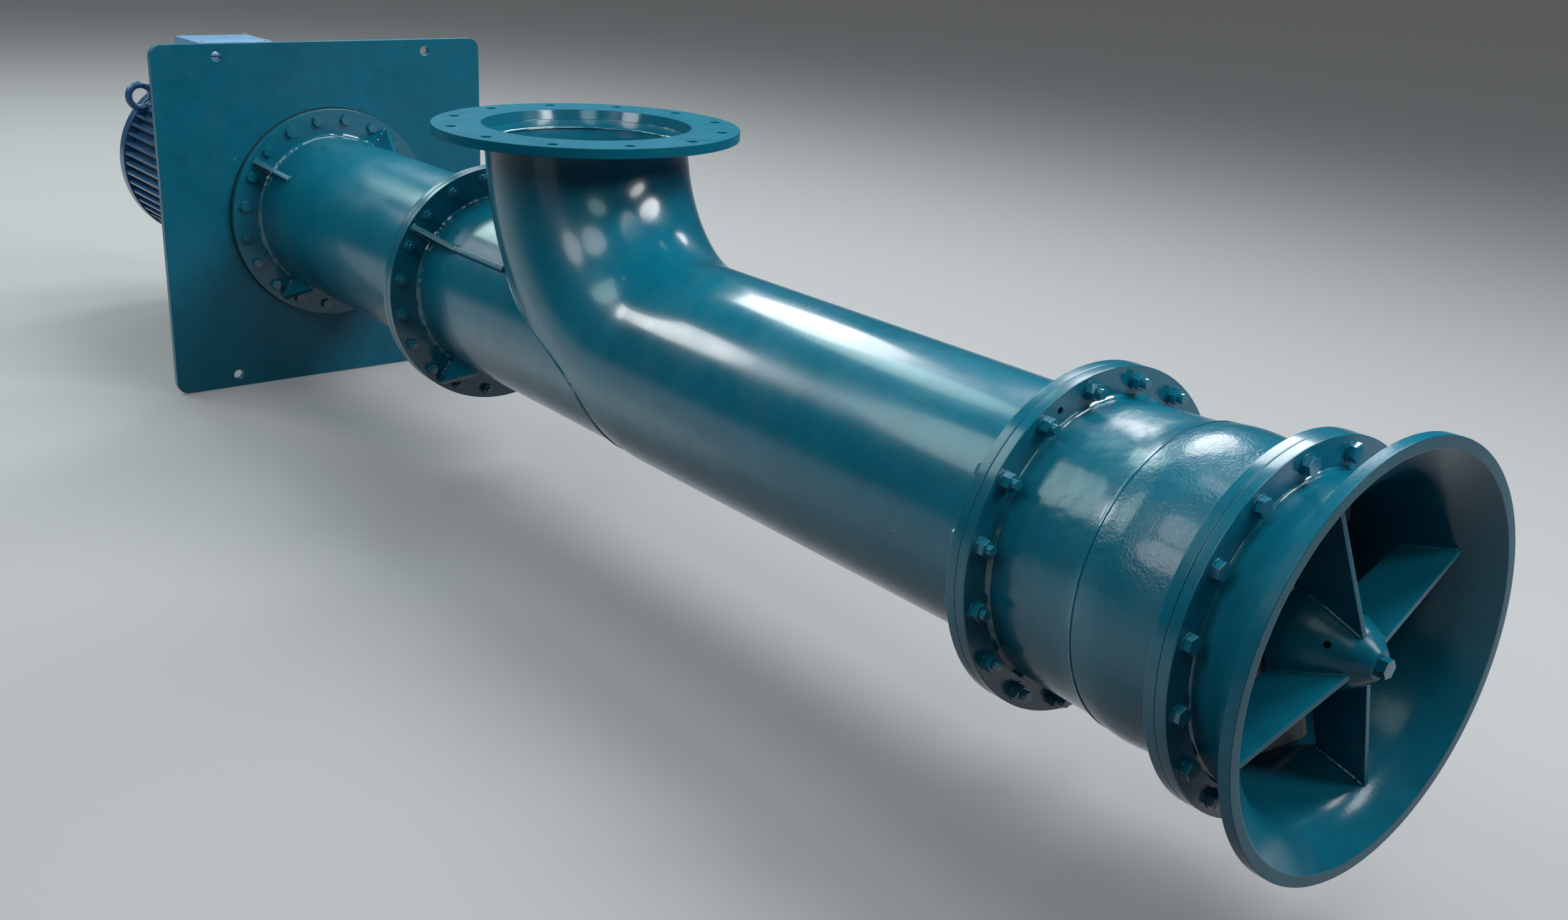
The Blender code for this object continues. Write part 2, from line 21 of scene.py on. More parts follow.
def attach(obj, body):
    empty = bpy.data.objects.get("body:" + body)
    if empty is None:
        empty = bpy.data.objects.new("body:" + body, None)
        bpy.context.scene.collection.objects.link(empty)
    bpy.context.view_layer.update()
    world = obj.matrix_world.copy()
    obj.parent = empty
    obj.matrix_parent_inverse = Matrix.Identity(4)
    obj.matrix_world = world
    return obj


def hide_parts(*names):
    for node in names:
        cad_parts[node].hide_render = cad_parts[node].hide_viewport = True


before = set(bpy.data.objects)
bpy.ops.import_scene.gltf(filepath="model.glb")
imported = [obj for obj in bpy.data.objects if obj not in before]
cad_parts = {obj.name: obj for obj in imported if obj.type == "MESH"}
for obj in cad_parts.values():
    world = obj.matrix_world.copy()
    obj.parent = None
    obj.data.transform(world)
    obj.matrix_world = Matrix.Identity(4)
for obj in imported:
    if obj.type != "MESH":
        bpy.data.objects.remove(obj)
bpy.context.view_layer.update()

LOG = logging.getLogger("pump")
PUMP, ROTOR = "pump", "rotor"
TAU = 2.0 * math.pi
MM = 0.001

# Driving dimensions, shared with the solids
PIPE_R, PIPE_IN = 0.206, 0.196
STUB_R, STUB_IN = 0.200, 0.190
BEND_R, BEND_Z = 0.395, -1.694
FLANGE_T = 0.018
ELBOW_PAIR_Z, BOWL_PAIR_Z, BELL_PAIR_Z = -0.9234, -2.7170, -3.0710
RING_EDGE = 0.0016
# Touching solids keep 0.3 mm between them, and half of it goes off each face of a joint.
SLIP, HALF_GAP = 0.0003, 0.00015

# Sizes in mm of the patterns that all finishes share
DRIFT_MM, MOTTLE_MM, DUST_MM = 303.0303, 38.0, 120.0
CHIP_CELL_MM, CHIP_EDGE_MM, CHIP_WARP_MM = 55.0, 2.0, 2.2
TOOL_RING_MM, TOOL_RING_H = 0.6, 0.006
DUST, PRIMER, PIT_DIRT = "6f7670", "c9d2cf", "16262a"


# Colour and nodes
def linear(code: str) -> tuple[float, float, float, float]:
    """Turn an sRGB hex colour into linear RGBA.

    Args:
        code: six hex digits, such as "0e6c7e".

    Returns:
        The linear red, green, blue and an alpha of one.
    """
    parts = [int(code[i:i + 2], 16) / 255.0 for i in (0, 2, 4)]
    lin = [c / 12.92 if c <= 0.04045 else ((c + 0.055) / 1.055) ** 2.4 for c in parts]
    return (lin[0], lin[1], lin[2], 1.0)


def add_node(tree: NodeTree, kind: str, settings: Optional[dict[str, Any]] = None,
             **inputs: Any) -> Node:
    """Add one node, set its properties and fill its inputs.

    Args:
        tree: the node tree.
        kind: the node's type name.
        settings: properties of the node itself.
        inputs: socket name, or i0, i1 ... for a socket's number, to a value or an output socket.

    Returns:
        The new node.
    """
    made = tree.nodes.new(kind)
    for key, value in (settings or {}).items():
        setattr(made, key, value)
    for key, value in inputs.items():
        number = key[1:]
        by_number = key[0] == "i" and number.isdigit()
        socket = made.inputs[int(number) if by_number else key.replace("_", " ")]
        if isinstance(value, NodeSocket):
            tree.links.new(value, socket)
        else:
            socket.default_value = value
    return made


# Finishes
class Skin(Enum):
    """Kinds of surface under or in a finish."""

    SHEET = "rolled sheet or pipe, nearly flat under the paint"
    CAST = "sand-cast iron, coarse under the paint"
    WELD = "weld metal"
    TURNED = "machined metal with fine tool rings"


@dataclass(frozen=True)
class Finish:
    """One finish of the pump; every instance is one real material.

    The colours are sRGB hex. wave_mm, cast_mm and peel_mm are the widths of the slow, coarse and fine
    relief, and wave_h, cast_h and peel_h their heights, all in mm. cast_below is the height in metres
    under which the coarse relief is full, and above which less than a third of it is left. chips is a
    chip's radius as a share of its 55 mm cell, and soil is how much dust the finish carries at most.
    """

    name: str
    slot: str
    colour: str
    shade: str
    roughness: float
    skin: Skin = Skin.SHEET
    metallic: float = 0.0
    coat: float = 0.0
    specular: float = 0.5
    wave_mm: float = 90.0
    wave_h: float = 0.10
    peel_mm: float = 2.6
    peel_h: float = 0.010
    cast_mm: float = 9.0
    cast_h: float = 0.0
    cast_below: Optional[float] = None
    chips: float = 0.0
    soil: float = 0.25

    def material(self) -> Material:
        """Return the material, made on its first use."""
        known = bpy.data.materials.get(self.name)
        return known if known is not None else self._build()

    def _build(self) -> Material:
        """Build the material with all its nodes."""
        mat = bpy.data.materials.new(self.name)
        mat.use_nodes = True
        mat.diffuse_color = linear(self.colour)
        tree = mat.node_tree
        shader = tree.nodes["Principled BSDF"]
        values = {"Metallic": self.metallic, "Coat Weight": self.coat, "Coat Roughness": 0.10}
        if not self.metallic:
            values |= {"IOR": 1.52, "Specular IOR Level": self.specular}
        for socket, value in values.items():
            shader.inputs[socket].default_value = value
        where = add_node(tree, "ShaderNodeTexCoord").outputs["Object"]
        paint, rough = self._paint(tree, where)
        if self.chips:
            paint, rough = self._chipped(tree, where, paint, rough)
        tree.links.new(paint, shader.inputs["Base Color"])
        tree.links.new(rough, shader.inputs["Roughness"])
        tree.links.new(self._relief(tree, where), shader.inputs["Normal"])
        return mat

    def _paint(self, tree: NodeTree, where: NodeSocket) -> tuple[NodeSocket, NodeSocket]:
        """Mix the two tones of the finish and lay dust in soft clouds on them, which dulls the gloss.

        Args:
            tree: the material's node tree.
            where: object coordinates.

        Returns:
            The colour socket and the roughness socket.
        """
        drift = add_node(tree, "ShaderNodeTexNoise", Vector=where, Scale=1.0 / (DRIFT_MM * MM),
                         Detail=3.0, Roughness=0.55).outputs["Fac"]
        mottle = add_node(tree, "ShaderNodeTexNoise", Vector=where, Scale=1.0 / (MOTTLE_MM * MM),
                          Detail=5.0, Roughness=0.6).outputs["Fac"]
        slow = add_node(tree, "ShaderNodeMath", {"operation": "MULTIPLY"}, i0=drift, i1=0.55).outputs[0]
        both = add_node(tree, "ShaderNodeMath", {"operation": "MULTIPLY_ADD"}, i0=mottle, i1=0.45,
                        i2=slow).outputs[0]
        share = add_node(tree, "ShaderNodeMapRange", i0=both, i1=0.38, i2=0.64, i3=0.0,
                         i4=1.0).outputs[0]
        tones = add_node(tree, "ShaderNodeMix", {"data_type": "RGBA"}, i0=share,
                         i6=linear(self.colour), i7=linear(self.shade)).outputs[2]
        cloud = add_node(tree, "ShaderNodeTexNoise", Vector=where, Scale=1.0 / (DUST_MM * MM),
                         Detail=6.0, Roughness=0.68).outputs["Fac"]
        dust = add_node(tree, "ShaderNodeMapRange", i0=cloud, i1=0.5, i2=0.78, i3=0.0,
                        i4=self.soil).outputs[0]
        paint = add_node(tree, "ShaderNodeMix", {"data_type": "RGBA"}, i0=dust, i6=tones,
                         i7=linear(DUST)).outputs[2]
        rough = add_node(tree, "ShaderNodeMapRange", i0=cloud, i1=0.3, i2=0.8,
                         i3=self.roughness * 0.8, i4=min(1.0, self.roughness * 1.5)).outputs[0]
        return paint, rough

    def _chipped(self, tree: NodeTree, where: NodeSocket, paint: NodeSocket,
                 rough: NodeSocket) -> tuple[NodeSocket, NodeSocket]:
        """Add chips of 1 to 3 mm: some show pale primer, the others are pits that hold dark dirt.

        Args:
            tree: the material's node tree.
            where: object coordinates.
            paint: colour of the sound paint.
            rough: roughness of the sound paint.

        Returns:
            Colour and roughness with the chips.
        """
        bend = add_node(tree, "ShaderNodeTexNoise", Vector=where, Scale=1.0 / (CHIP_EDGE_MM * MM),
                        Detail=2.0).outputs["Color"]
        warped = add_node(tree, "ShaderNodeVectorMath", {"operation": "MULTIPLY_ADD"}, i0=bend,
                          i1=(CHIP_WARP_MM * MM,) * 3, i2=where).outputs[0]
        cell = add_node(tree, "ShaderNodeTexVoronoi", Vector=warped, Scale=1.0 / (CHIP_CELL_MM * MM))
        spot = add_node(tree, "ShaderNodeMath", {"operation": "LESS_THAN"},
                        i0=cell.outputs["Distance"], i1=self.chips).outputs[0]
        chance = add_node(tree, "ShaderNodeSeparateColor", Color=cell.outputs["Color"])
        some = add_node(tree, "ShaderNodeMath", {"operation": "GREATER_THAN"}, i0=chance.outputs[0],
                        i1=0.82).outputs[0]
        chip = add_node(tree, "ShaderNodeMath", {"operation": "MULTIPLY"}, i0=spot, i1=some).outputs[0]
        pit = add_node(tree, "ShaderNodeMath", {"operation": "GREATER_THAN"}, i0=chance.outputs[1],
                       i1=0.55).outputs[0]
        bare = add_node(tree, "ShaderNodeMix", {"data_type": "RGBA"}, i0=pit, i6=linear(PRIMER),
                        i7=linear(PIT_DIRT)).outputs[2]
        paint = add_node(tree, "ShaderNodeMix", {"data_type": "RGBA"}, i0=chip, i6=paint,
                         i7=bare).outputs[2]
        return paint, add_node(tree, "ShaderNodeMix", i0=chip, i2=rough, i3=0.6).outputs[0]

    def _relief(self, tree: NodeTree, where: NodeSocket) -> NodeSocket:
        """Chain the bumps of this finish, coarse to fine.

        Args:
            tree: the material's node tree.
            where: object coordinates.

        Returns:
            The normal socket.
        """
        bumps: list[tuple[NodeSocket, float, float]] = []
        layers = ((self.wave_mm, self.wave_h, 1.0), (self.cast_mm, self.cast_h, 3.0),
                  (self.peel_mm, self.peel_h, 2.0))
        for width, height, detail in layers:
            if not height:
                continue
            noise = add_node(tree, "ShaderNodeTexNoise", Vector=where, Scale=1.0 / (width * MM),
                             Detail=detail, Roughness=0.5).outputs["Fac"]
            if self.cast_below is not None and height == self.cast_h:
                level = add_node(tree, "ShaderNodeSeparateXYZ", Vector=where).outputs["Z"]
                share = add_node(tree, "ShaderNodeMapRange", i0=level, i1=self.cast_below,
                                 i2=self.cast_below + 0.012, i3=1.0, i4=0.3).outputs[0]
                noise = add_node(tree, "ShaderNodeMath", {"operation": "MULTIPLY"}, i0=noise,
                                 i1=share).outputs[0]
            bumps.append((noise, height, 1.0))
        if self.skin is Skin.TURNED:
            # Noise squeezed along the axis and stretched round it looks like tool rings.
            squeezed = add_node(tree, "ShaderNodeMapping", Vector=where,
                                Scale=(3.0, 3.0, 1.0 / (TOOL_RING_MM * MM))).outputs[0]
            rings = add_node(tree, "ShaderNodeTexNoise", Vector=squeezed, Scale=1.0,
                             Detail=1.0).outputs["Fac"]
            bumps.append((rings, TOOL_RING_H, 0.7))
        normal: Optional[NodeSocket] = None
        for source, height, strength in bumps:
            bump = add_node(tree, "ShaderNodeBump", Strength=strength, Distance=height * MM,
                            Height=source)
            if normal is not None:
                tree.links.new(normal, bump.inputs["Normal"])
            normal = bump.outputs[0]
        assert normal is not None
        return normal


# Gloss alkyd enamel sprayed over rolled steel pipe: long clean streaks of light that waver a little
PIPE_ENAMEL = Finish("pipe_gloss_enamel", "column_enamel", "0b728c", "0a6780", 0.22, coat=0.35,
                     wave_h=0.06, peel_h=0.005, chips=0.022, soil=0.06)
# The same enamel, thinner, over the base plate: an even satin with no clear reflection
PLATE_ENAMEL = Finish("plate_satin_enamel", "column_enamel", "0b728c", "0a657e", 0.30, coat=0.05,
                      specular=0.3, wave_h=0.05, peel_h=0.004, chips=0.022, soil=0.06)
# The same enamel over the bend, welded and dressed by hand: lamps break into soft blobs
BEND_ENAMEL = Finish("bend_gloss_enamel", "column_enamel", "0b7690", "0a6b85", 0.22, coat=0.40,
                     wave_mm=70.0, wave_h=0.75, chips=0.022, soil=0.06)
# The same enamel over the bowl's sand casting: ragged highlights, coarser below its seam
CAST_ENAMEL = Finish("bowl_gloss_enamel", "column_enamel", "0b6f88", "0a627b", 0.22, Skin.CAST,
                     coat=0.40, wave_mm=26.0, wave_h=1.1, cast_mm=4.2, cast_h=0.60, peel_mm=1.6,
                     peel_h=0.05, cast_below=-2.882, chips=0.022, soil=0.08)
# The same enamel over turned flanges and plain castings: smooth, with crisp rims of light
FLANGE_ENAMEL = Finish("flange_gloss_enamel", "column_enamel", "0b6f88", "0a627b", 0.20, coat=0.30,
                       wave_h=0.0, peel_mm=3.0, peel_h=0.005, chips=0.022, soil=0.06)
# The same enamel, thin over the turned joint face: flat colour that shows no lamp
FACE_ENAMEL = Finish("joint_face_satin_enamel", "column_enamel", "0b6c85", "0a627b", 0.36,
                     specular=0.03, wave_h=0.0, peel_mm=4.0, peel_h=0.002, chips=0.022, soil=0.04)
# Enamel run over the tool marks of the discharge bore: upright streaks of light
BORE_ENAMEL = Finish("turned_bore_gloss_enamel", "column_enamel", "0b6a82", "0a5f78", 0.14, coat=0.6,
                     wave_h=0.0, peel_mm=3.0, peel_h=0.004, soil=0.04)
# Enamel over the bell's cast wall, smoother than the bowl's: a dull sheen with few highlights
BELL_ENAMEL = Finish("bell_gloss_enamel", "column_enamel", "0b6f88", "0a627b", 0.22, Skin.CAST,
                     coat=0.10, specular=0.25, wave_mm=60.0, wave_h=0.30, cast_mm=6.0, cast_h=0.20,
                     peel_mm=2.2, peel_h=0.03, chips=0.022, soil=0.06)
# Enamel over plate ribs and the turned hub: plain faces, a little uneven. Its teal is paler than the
# other castings' enamel, painted light that stands in for the light falling on the ribs
RIB_ENAMEL = Finish("rib_enamel_with_painted_light", "column_enamel", "0c7893", "0b6c86", 0.24, coat=0.10,
                    specular=0.25, wave_mm=50.0, wave_h=0.14, cast_mm=5.0, cast_h=0.03, soil=0.06)
# Enamel run thick over weld beads and bolts: small bright glints
WELD_ENAMEL = Finish("weld_gloss_enamel", "column_enamel", "0c758e", "0a667f", 0.16, Skin.WELD,
                     coat=0.60, wave_h=0.0, cast_mm=3.0, cast_h=0.10, soil=0.05)
# Satin enamel over the motor's die-cast iron: fine grain, dusty between the fins
MOTOR_ENAMEL = Finish("motor_satin_enamel", "motor_enamel", "2a5c88", "214d77", 0.28, Skin.CAST,
                      coat=0.30, cast_mm=4.0, cast_h=0.07, soil=0.30)
# Paler satin enamel on the pressed terminal box: smooth and even
BOX_ENAMEL = Finish("box_satin_enamel", "box_enamel", "6f9fc9", "6392bd", 0.34, coat=0.15,
                    cast_mm=3.0, cast_h=0.03, soil=0.18)
# Moulded black polypropylene of the cooling fan: dull and dusty
FAN_PLASTIC = Finish("black_fan_polypropylene", "motor_enamel", "1b1c1d", "222324", 0.5,
                     wave_h=0.0, peel_mm=1.0, peel_h=0.008, soil=0.35)
# Turned carbon steel of shafts and coupling: bright, with fine rings
SHAFT_STEEL = Finish("turned_shaft_steel", "shaft_steel", "b9bab8", "9b9c9a", 0.27, Skin.TURNED,
                     metallic=1.0, wave_h=0.0, peel_h=0.0, soil=0.10)
# Sand-cast impeller iron: dull grey and grainy
IMPELLER_IRON = Finish("cast_impeller_iron", "impeller_metal", "9c9d99", "7e7f7c", 0.50, Skin.CAST,
                       metallic=0.3, wave_h=0.0, cast_mm=4.0, cast_h=0.22, soil=0.25)
# Nickel-plated turned brass of the cable glands: bright and warm
GLAND_BRASS = Finish("nickelled_brass", "gland_brass", "b8a06a", "a28b58", 0.26, Skin.TURNED,
                     metallic=1.0, wave_h=0.0, peel_h=0.0, soil=0.10)
# Zinc-plated steel of motor and stool bolts: pale grey with a soft shine
ZINC_STEEL = Finish("zinc_plated_steel", "shaft_steel", "c3c6c8", "a7abad", 0.33, metallic=1.0,
                    wave_h=0.0, peel_mm=1.2, peel_h=0.01, soil=0.20)
# Pressed fibre jointing between flanges, and the black rubber of seals: matt and dark. Round the top
# flange's edge it also lays a dark line that is partly painted shade
JOINT_SHEET = Finish("fibre_joint_sheet", "column_enamel", "1c2426", "151b1d", 0.75, wave_h=0.0,
                     peel_mm=0.8, peel_h=0.02, soil=0.0)


# Places
class Corner(NamedTuple):
    """A corner of a turned section, with the size of its rounding."""

    r: float
    z: float
    fillet: float = 0.0


Line = tuple[tuple[float, float], ...]

# A slab drawn in X and Y stands up into X and Z by the first turn; the second points a piece down.
STAND_UP = Matrix.Rotation(math.pi / 2, 4, "X")
HEAD_DOWN = Matrix.Rotation(math.pi, 4, "X")


def across(angle: float) -> Vector:
    """Return the unit vector at an angle in degrees from -Y toward +X."""
    a = math.radians(angle)
    return Vector((math.sin(a), -math.cos(a), 0.0))


def shift(x: float, y: float, z: float) -> Matrix:
    """Return the matrix that moves a mesh from the origin to a point."""
    return Matrix.Translation((x, y, z))


def swung(angle: float) -> Matrix:
    """Return the turn about the shaft that takes +X to an angle from -Y."""
    return Matrix.Rotation(math.radians(angle - 90.0), 4, "Z")


def outward_frame(angle: float, radius: float, z: float) -> Matrix:
    """Return a frame on a cylinder: X along the tangent, Y along the shaft, Z outward."""
    u = across(angle)
    side = Vector((u.y, -u.x, 0.0))
    turn = Matrix((side, Vector((0, 0, 1)), u)).transposed().to_4x4()
    return Matrix.Translation(u * radius + Vector((0, 0, z))) @ turn


def moved(bm: BMesh, place: Matrix) -> BMesh:
    """Put a whole mesh in another place and return it."""
    bmesh.ops.transform(bm, matrix=place, verts=bm.verts[:])
    return bm


def smooth_line(points: Line, cuts: int) -> list[Corner]:
    """Draw a smooth line through points of a section.

    Args:
        points: radius and height of each point, in order.
        cuts: pieces made of each stretch.

    Returns:
        Corners along the line.
    """
    out: list[Corner] = []
    pts = [Vector(p).to_3d() for p in points]
    for i in range(len(pts) - 1):
        a = pts[max(0, i - 1)]
        b, c = pts[i], pts[i + 1]
        d = pts[min(len(pts) - 1, i + 2)]
        for k in range(cuts):
            t = k / cuts
            p = 0.5 * (2 * b + (c - a) * t + (2 * a - 5 * b + 4 * c - d) * t * t
                       + (3 * b - a - 3 * c + d) * t ** 3)
            out.append(Corner(p.x, p.y))
    out.append(Corner(pts[-1].x, pts[-1].y))
    return out


# Meshes
def turned(section: Sequence[tuple[float, ...]], steps: int = 128) -> BMesh:
    """Turn a closed section about the Z axis.

    Args:
        section: radius, height and, where a corner is rounded, its rounding, in order round the section.
        steps: facets round the axis.

    Returns:
        A closed mesh whose faces point outwards.
    """
    corners = [Corner(*c) for c in section]
    bm = bmesh.new()
    verts = [bm.verts.new((c.r, 0.0, c.z)) for c in corners]
    bm.faces.new(verts)
    for size in sorted({c.fillet for c in corners if c.fillet}):
        chosen = [v for v, c in zip(verts, corners) if c.fillet == size]
        bmesh.ops.bevel(bm, geom=chosen, offset=size, offset_type="OFFSET", affect="VERTICES",
                        segments=3, profile=0.5, material=-1)
    bmesh.ops.delete(bm, geom=bm.faces[:], context="FACES_ONLY")
    axis = [e for e in bm.edges if all(v.co.x < 1e-7 for v in e.verts)]
    bmesh.ops.delete(bm, geom=axis, context="EDGES")
    bmesh.ops.spin(bm, geom=bm.verts[:] + bm.edges[:], cent=(0, 0, 0), axis=(0, 0, 1),
                   dvec=(0, 0, 0), angle=TAU, steps=steps, use_merge=True, use_duplicate=False)
    bmesh.ops.remove_doubles(bm, verts=bm.verts[:], dist=1e-6)
    bmesh.ops.recalc_face_normals(bm, faces=bm.faces[:])
    return bm


def collar(r_out: float, r_in: float, z_top: float, z_low: float, fillet: float = 0.0015,
           steps: int = 128) -> BMesh:
    """Turn a plain ring with rounded outer corners, or a solid disc where r_in is zero."""
    return turned([(r_out, z_top, fillet), (r_out, z_low, fillet), (r_in, z_low), (r_in, z_top)], steps)


def slab(outline: Sequence[tuple[float, float]], z_low: float, z_top: float, edge: float = 0.0,
         corner: float = 0.0) -> BMesh:
    """Extrude a flat outline along Z and round its edges.

    Args:
        outline: x and y of each corner, in order.
        z_low: height of the lower face.
        z_top: height of the upper face.
        edge: rounding of all edges.
        corner: rounding of the upright edges, done first.

    Returns:
        A closed mesh.
    """
    bm = bmesh.new()
    face = bm.faces.new([bm.verts.new((x, y, z_low)) for x, y in outline])
    grown = bmesh.ops.extrude_face_region(bm, geom=[face])["geom"]
    bmesh.ops.translate(bm, vec=(0, 0, z_top - z_low), verts=[g for g in grown if isinstance(g, BMVert)])
    if corner:
        upright = [e for e in bm.edges if abs(e.verts[0].co.z - e.verts[1].co.z) > 1e-6]
        round_edges(bm, upright, corner, 6)
    bmesh.ops.recalc_face_normals(bm, faces=bm.faces[:])
    if edge:
        sharp = [e for e in bm.edges if len(e.link_faces) == 2 and e.calc_face_angle() > 0.6]
        round_edges(bm, sharp, edge)
    return bm


def round_edges(bm: BMesh, edges: Iterable[BMEdge], size: float, segments: int = 2) -> None:
    """Round some edges of a mesh."""
    bmesh.ops.bevel(bm, geom=list(edges), offset=size, offset_type="OFFSET", affect="EDGES",
                    segments=segments, profile=0.5, material=-1, clamp_overlap=True)


def join(bm: BMesh, other: BMesh, place: Optional[Matrix] = None) -> None:
    """Add a copy of another mesh to bm at a place, and free the other.

    Args:
        bm: the mesh that grows.
        other: the mesh that is added.
        place: where it goes; a mirrored place turns the faces over again.
    """
    if place is not None:
        moved(other, place)
        if place.determinant() < 0:
            bmesh.ops.reverse_faces(other, faces=other.faces[:])
    carrier = bpy.data.meshes.new("carrier")
    other.to_mesh(carrier)
    other.free()
    bm.from_mesh(carrier)
    bpy.data.meshes.remove(carrier)


def carve(bm: BMesh, cutter: BMesh) -> BMesh:
    """Cut one mesh out of another by an exact Boolean; both are used up.

    Args:
        bm: the mesh that is cut.
        cutter: the cutting mesh.

    Returns:
        The result.
    """
    meshes, things = [], []
    for name, source in (("carve_body", bm), ("carve_tool", cutter)):
        mesh = bpy.data.meshes.new(name)
        source.to_mesh(mesh)
        source.free()
        thing = bpy.data.objects.new(name, mesh)
        bpy.context.scene.collection.objects.link(thing)
        meshes.append(mesh)
        things.append(thing)
    mod = things[0].modifiers.new("cut", "BOOLEAN")
    mod.operation, mod.solver, mod.object = "DIFFERENCE", "EXACT", things[1]
    result = bpy.data.meshes.new_from_object(
        things[0].evaluated_get(bpy.context.evaluated_depsgraph_get()))
    out = bmesh.new()
    out.from_mesh(result)
    for thing in things:
        bpy.data.objects.remove(thing, do_unlink=True)
    for mesh in meshes + [result]:
        bpy.data.meshes.remove(mesh)
    return out


def disc(radius: float, height: float, place: Matrix, bm: BMesh, segments: int = 20,
         edge: float = 0.0006, tip: Optional[float] = None) -> None:
    """Add a round disc or stud standing on the place's XY plane.

    Args:
        radius: its radius.
        height: its height along the place's Z.
        place: position and direction.
        bm: mesh that it is added to.
        segments: facets round it.
        edge: rounding of its top edge.
        tip: radius at the top, where it differs.
    """
    part = bmesh.new()
    bmesh.ops.create_cone(part, cap_ends=True, segments=segments, radius1=radius,
                          radius2=radius if tip is None else tip, depth=height,
                          matrix=shift(0, 0, height / 2))
    if edge:
        round_edges(part, [e for e in part.edges if all(v.co.z > height * 0.9 for v in e.verts)], edge)
    join(bm, part, place)


def hexagon(across_flats: float, height: float, place: Matrix, bm: BMesh, edge: float = 0.0012) -> None:
    """Add a hexagon head or nut standing on the place's XY plane, its top edges rounded."""
    disc(across_flats / math.sqrt(3.0), height, place, bm, 6, edge)


def loop_wire(major: float, minor: float, place: Matrix, bm: BMesh, around: int, wire: int) -> None:
    """Add a closed round wire lying in the place's XY plane.

    Args:
        major: radius of the loop.
        minor: radius of the wire.
        place: position and direction.
        bm: mesh that it is added to.
        around: facets round the loop.
        wire: facets round the wire.
    """
    part = bmesh.new()
    circle = bmesh.ops.create_circle(part, cap_ends=False, segments=wire, radius=minor,
                                     matrix=shift(major, 0, 0) @ STAND_UP)["verts"]
    bmesh.ops.spin(part, geom=circle + ring_edges(circle), cent=(0, 0, 0), axis=(0, 0, 1),
                   dvec=(0, 0, 0), angle=TAU, steps=around, use_merge=True, use_duplicate=False)
    bmesh.ops.recalc_face_normals(part, faces=part.faces[:])
    join(bm, part, place)


def bolt_ring(count: int, radius: float, z: float, up: bool, first: float, size: float,
              stud: float = 0.0, washer: bool = True, seed: int = 1) -> BMesh:
    """Make a circle of hexagon heads or nuts on a flange.

    Args:
        count: how many.
        radius: bolt circle radius.
        z: height of the face that they sit on.
        up: true where they point toward +Z.
        first: angle of the first one.
        size: thread diameter, from which the head's sizes follow.
        stud: length of thread past the nut, or 0 for a bolt head.
        washer: whether a washer lies under each.
        seed: seed for the turn of each hexagon.

    Returns:
        One mesh with all of them.
    """
    bm = bmesh.new()
    rng = random.Random(seed)
    flip = Matrix.Identity(4) if up else HEAD_DOWN
    base = size * 0.15 if washer else 0.0
    head = size * (0.8 if stud else 0.64)
    for k in range(count):
        spot = across(first + 360.0 * k / count) * radius
        place = shift(spot.x, spot.y, z) @ flip @ Matrix.Rotation(rng.uniform(0, TAU / 6), 4, "Z")
        if washer:
            disc(size * 0.94, base, place, bm, 18)
        hexagon(size * 1.5, head, place @ shift(0, 0, base), bm, size * 0.07)
        if stud:
            disc(size * 0.5, stud, place @ shift(0, 0, base + head), bm, 12, size * 0.08)
    return bm


def weld_ring(radius: float, z: float, size: float, up: bool = False, inside: bool = False,
              seed: int = 1, pitch: float = 0.0042, wander: float = 0.0007) -> BMesh:
    """Make a fillet weld between a pipe and a flange face.

    Args:
        radius: the pipe's radius.
        z: height of the flange face.
        size: leg length of the weld.
        up: true where the weld stands above the face.
        inside: true where it runs inside a bore.
        seed: seed for its uneven edge.
        pitch: length of one ripple.
        wander: how far its edge wanders.

    Returns:
        A closed rippled ring.
    """
    rise, out = (1.0 if up else -1.0), (-1.0 if inside else 1.0)
    root = 0.0012
    section = [(radius - out * root, z - rise * root)]
    for k in range(6):
        a = math.pi / 2 * k / 5
        leg = size * (1.0 - 0.18 * math.sin(2 * a))
        section.append((radius + out * leg * math.cos(a), z + rise * leg * math.sin(a)))
    steps = max(96, int(TAU * radius / pitch) * 2)
    bm = turned(section, steps)
    ripple_ring(bm, section[0], steps, seed, 0.00022, wander)
    return bm


def ripple_ring(bm: BMesh, core: tuple[float, float], steps: int, seed: int, depth: float,
                wander: float) -> None:
    """Move a turned bead's vertices away from its core circle, so it looks laid by hand.

    Args:
        bm: the turned bead.
        core: radius and height of the circle that the bead grows from.
        steps: facets round the bead.
        seed: seed of the slow wander.
        depth: height of the ripples.
        wander: how far the bead's thickness drifts.
    """
    rng = random.Random(seed)
    waves = [(rng.randint(5, 60), rng.uniform(0, TAU), rng.uniform(0.3, 1.0)) for _ in range(9)]
    total = sum(weight for _, _, weight in waves)
    for v in bm.verts:
        angle = math.atan2(v.co.y, v.co.x)
        centre = Vector((v.co.x, v.co.y, 0)).normalized() * core[0] + Vector((0, 0, core[1]))
        away = v.co - centre
        if away.length < 1e-5:
            continue
        step = round((angle % TAU) / TAU * steps)
        sway = sum(weight * math.sin(turns * angle + phase) for turns, phase, weight in waves)
        v.co += away.normalized() * ((depth if step % 2 else -depth) + sway / total * wander * 2.2)


def ring_edges(verts: Iterable[BMVert]) -> list[BMEdge]:
    """Return the edges that join the vertices of a ring to each other."""
    ring = set(verts)
    return list({e for v in ring for e in v.link_edges if e.other_vert(v) in ring})


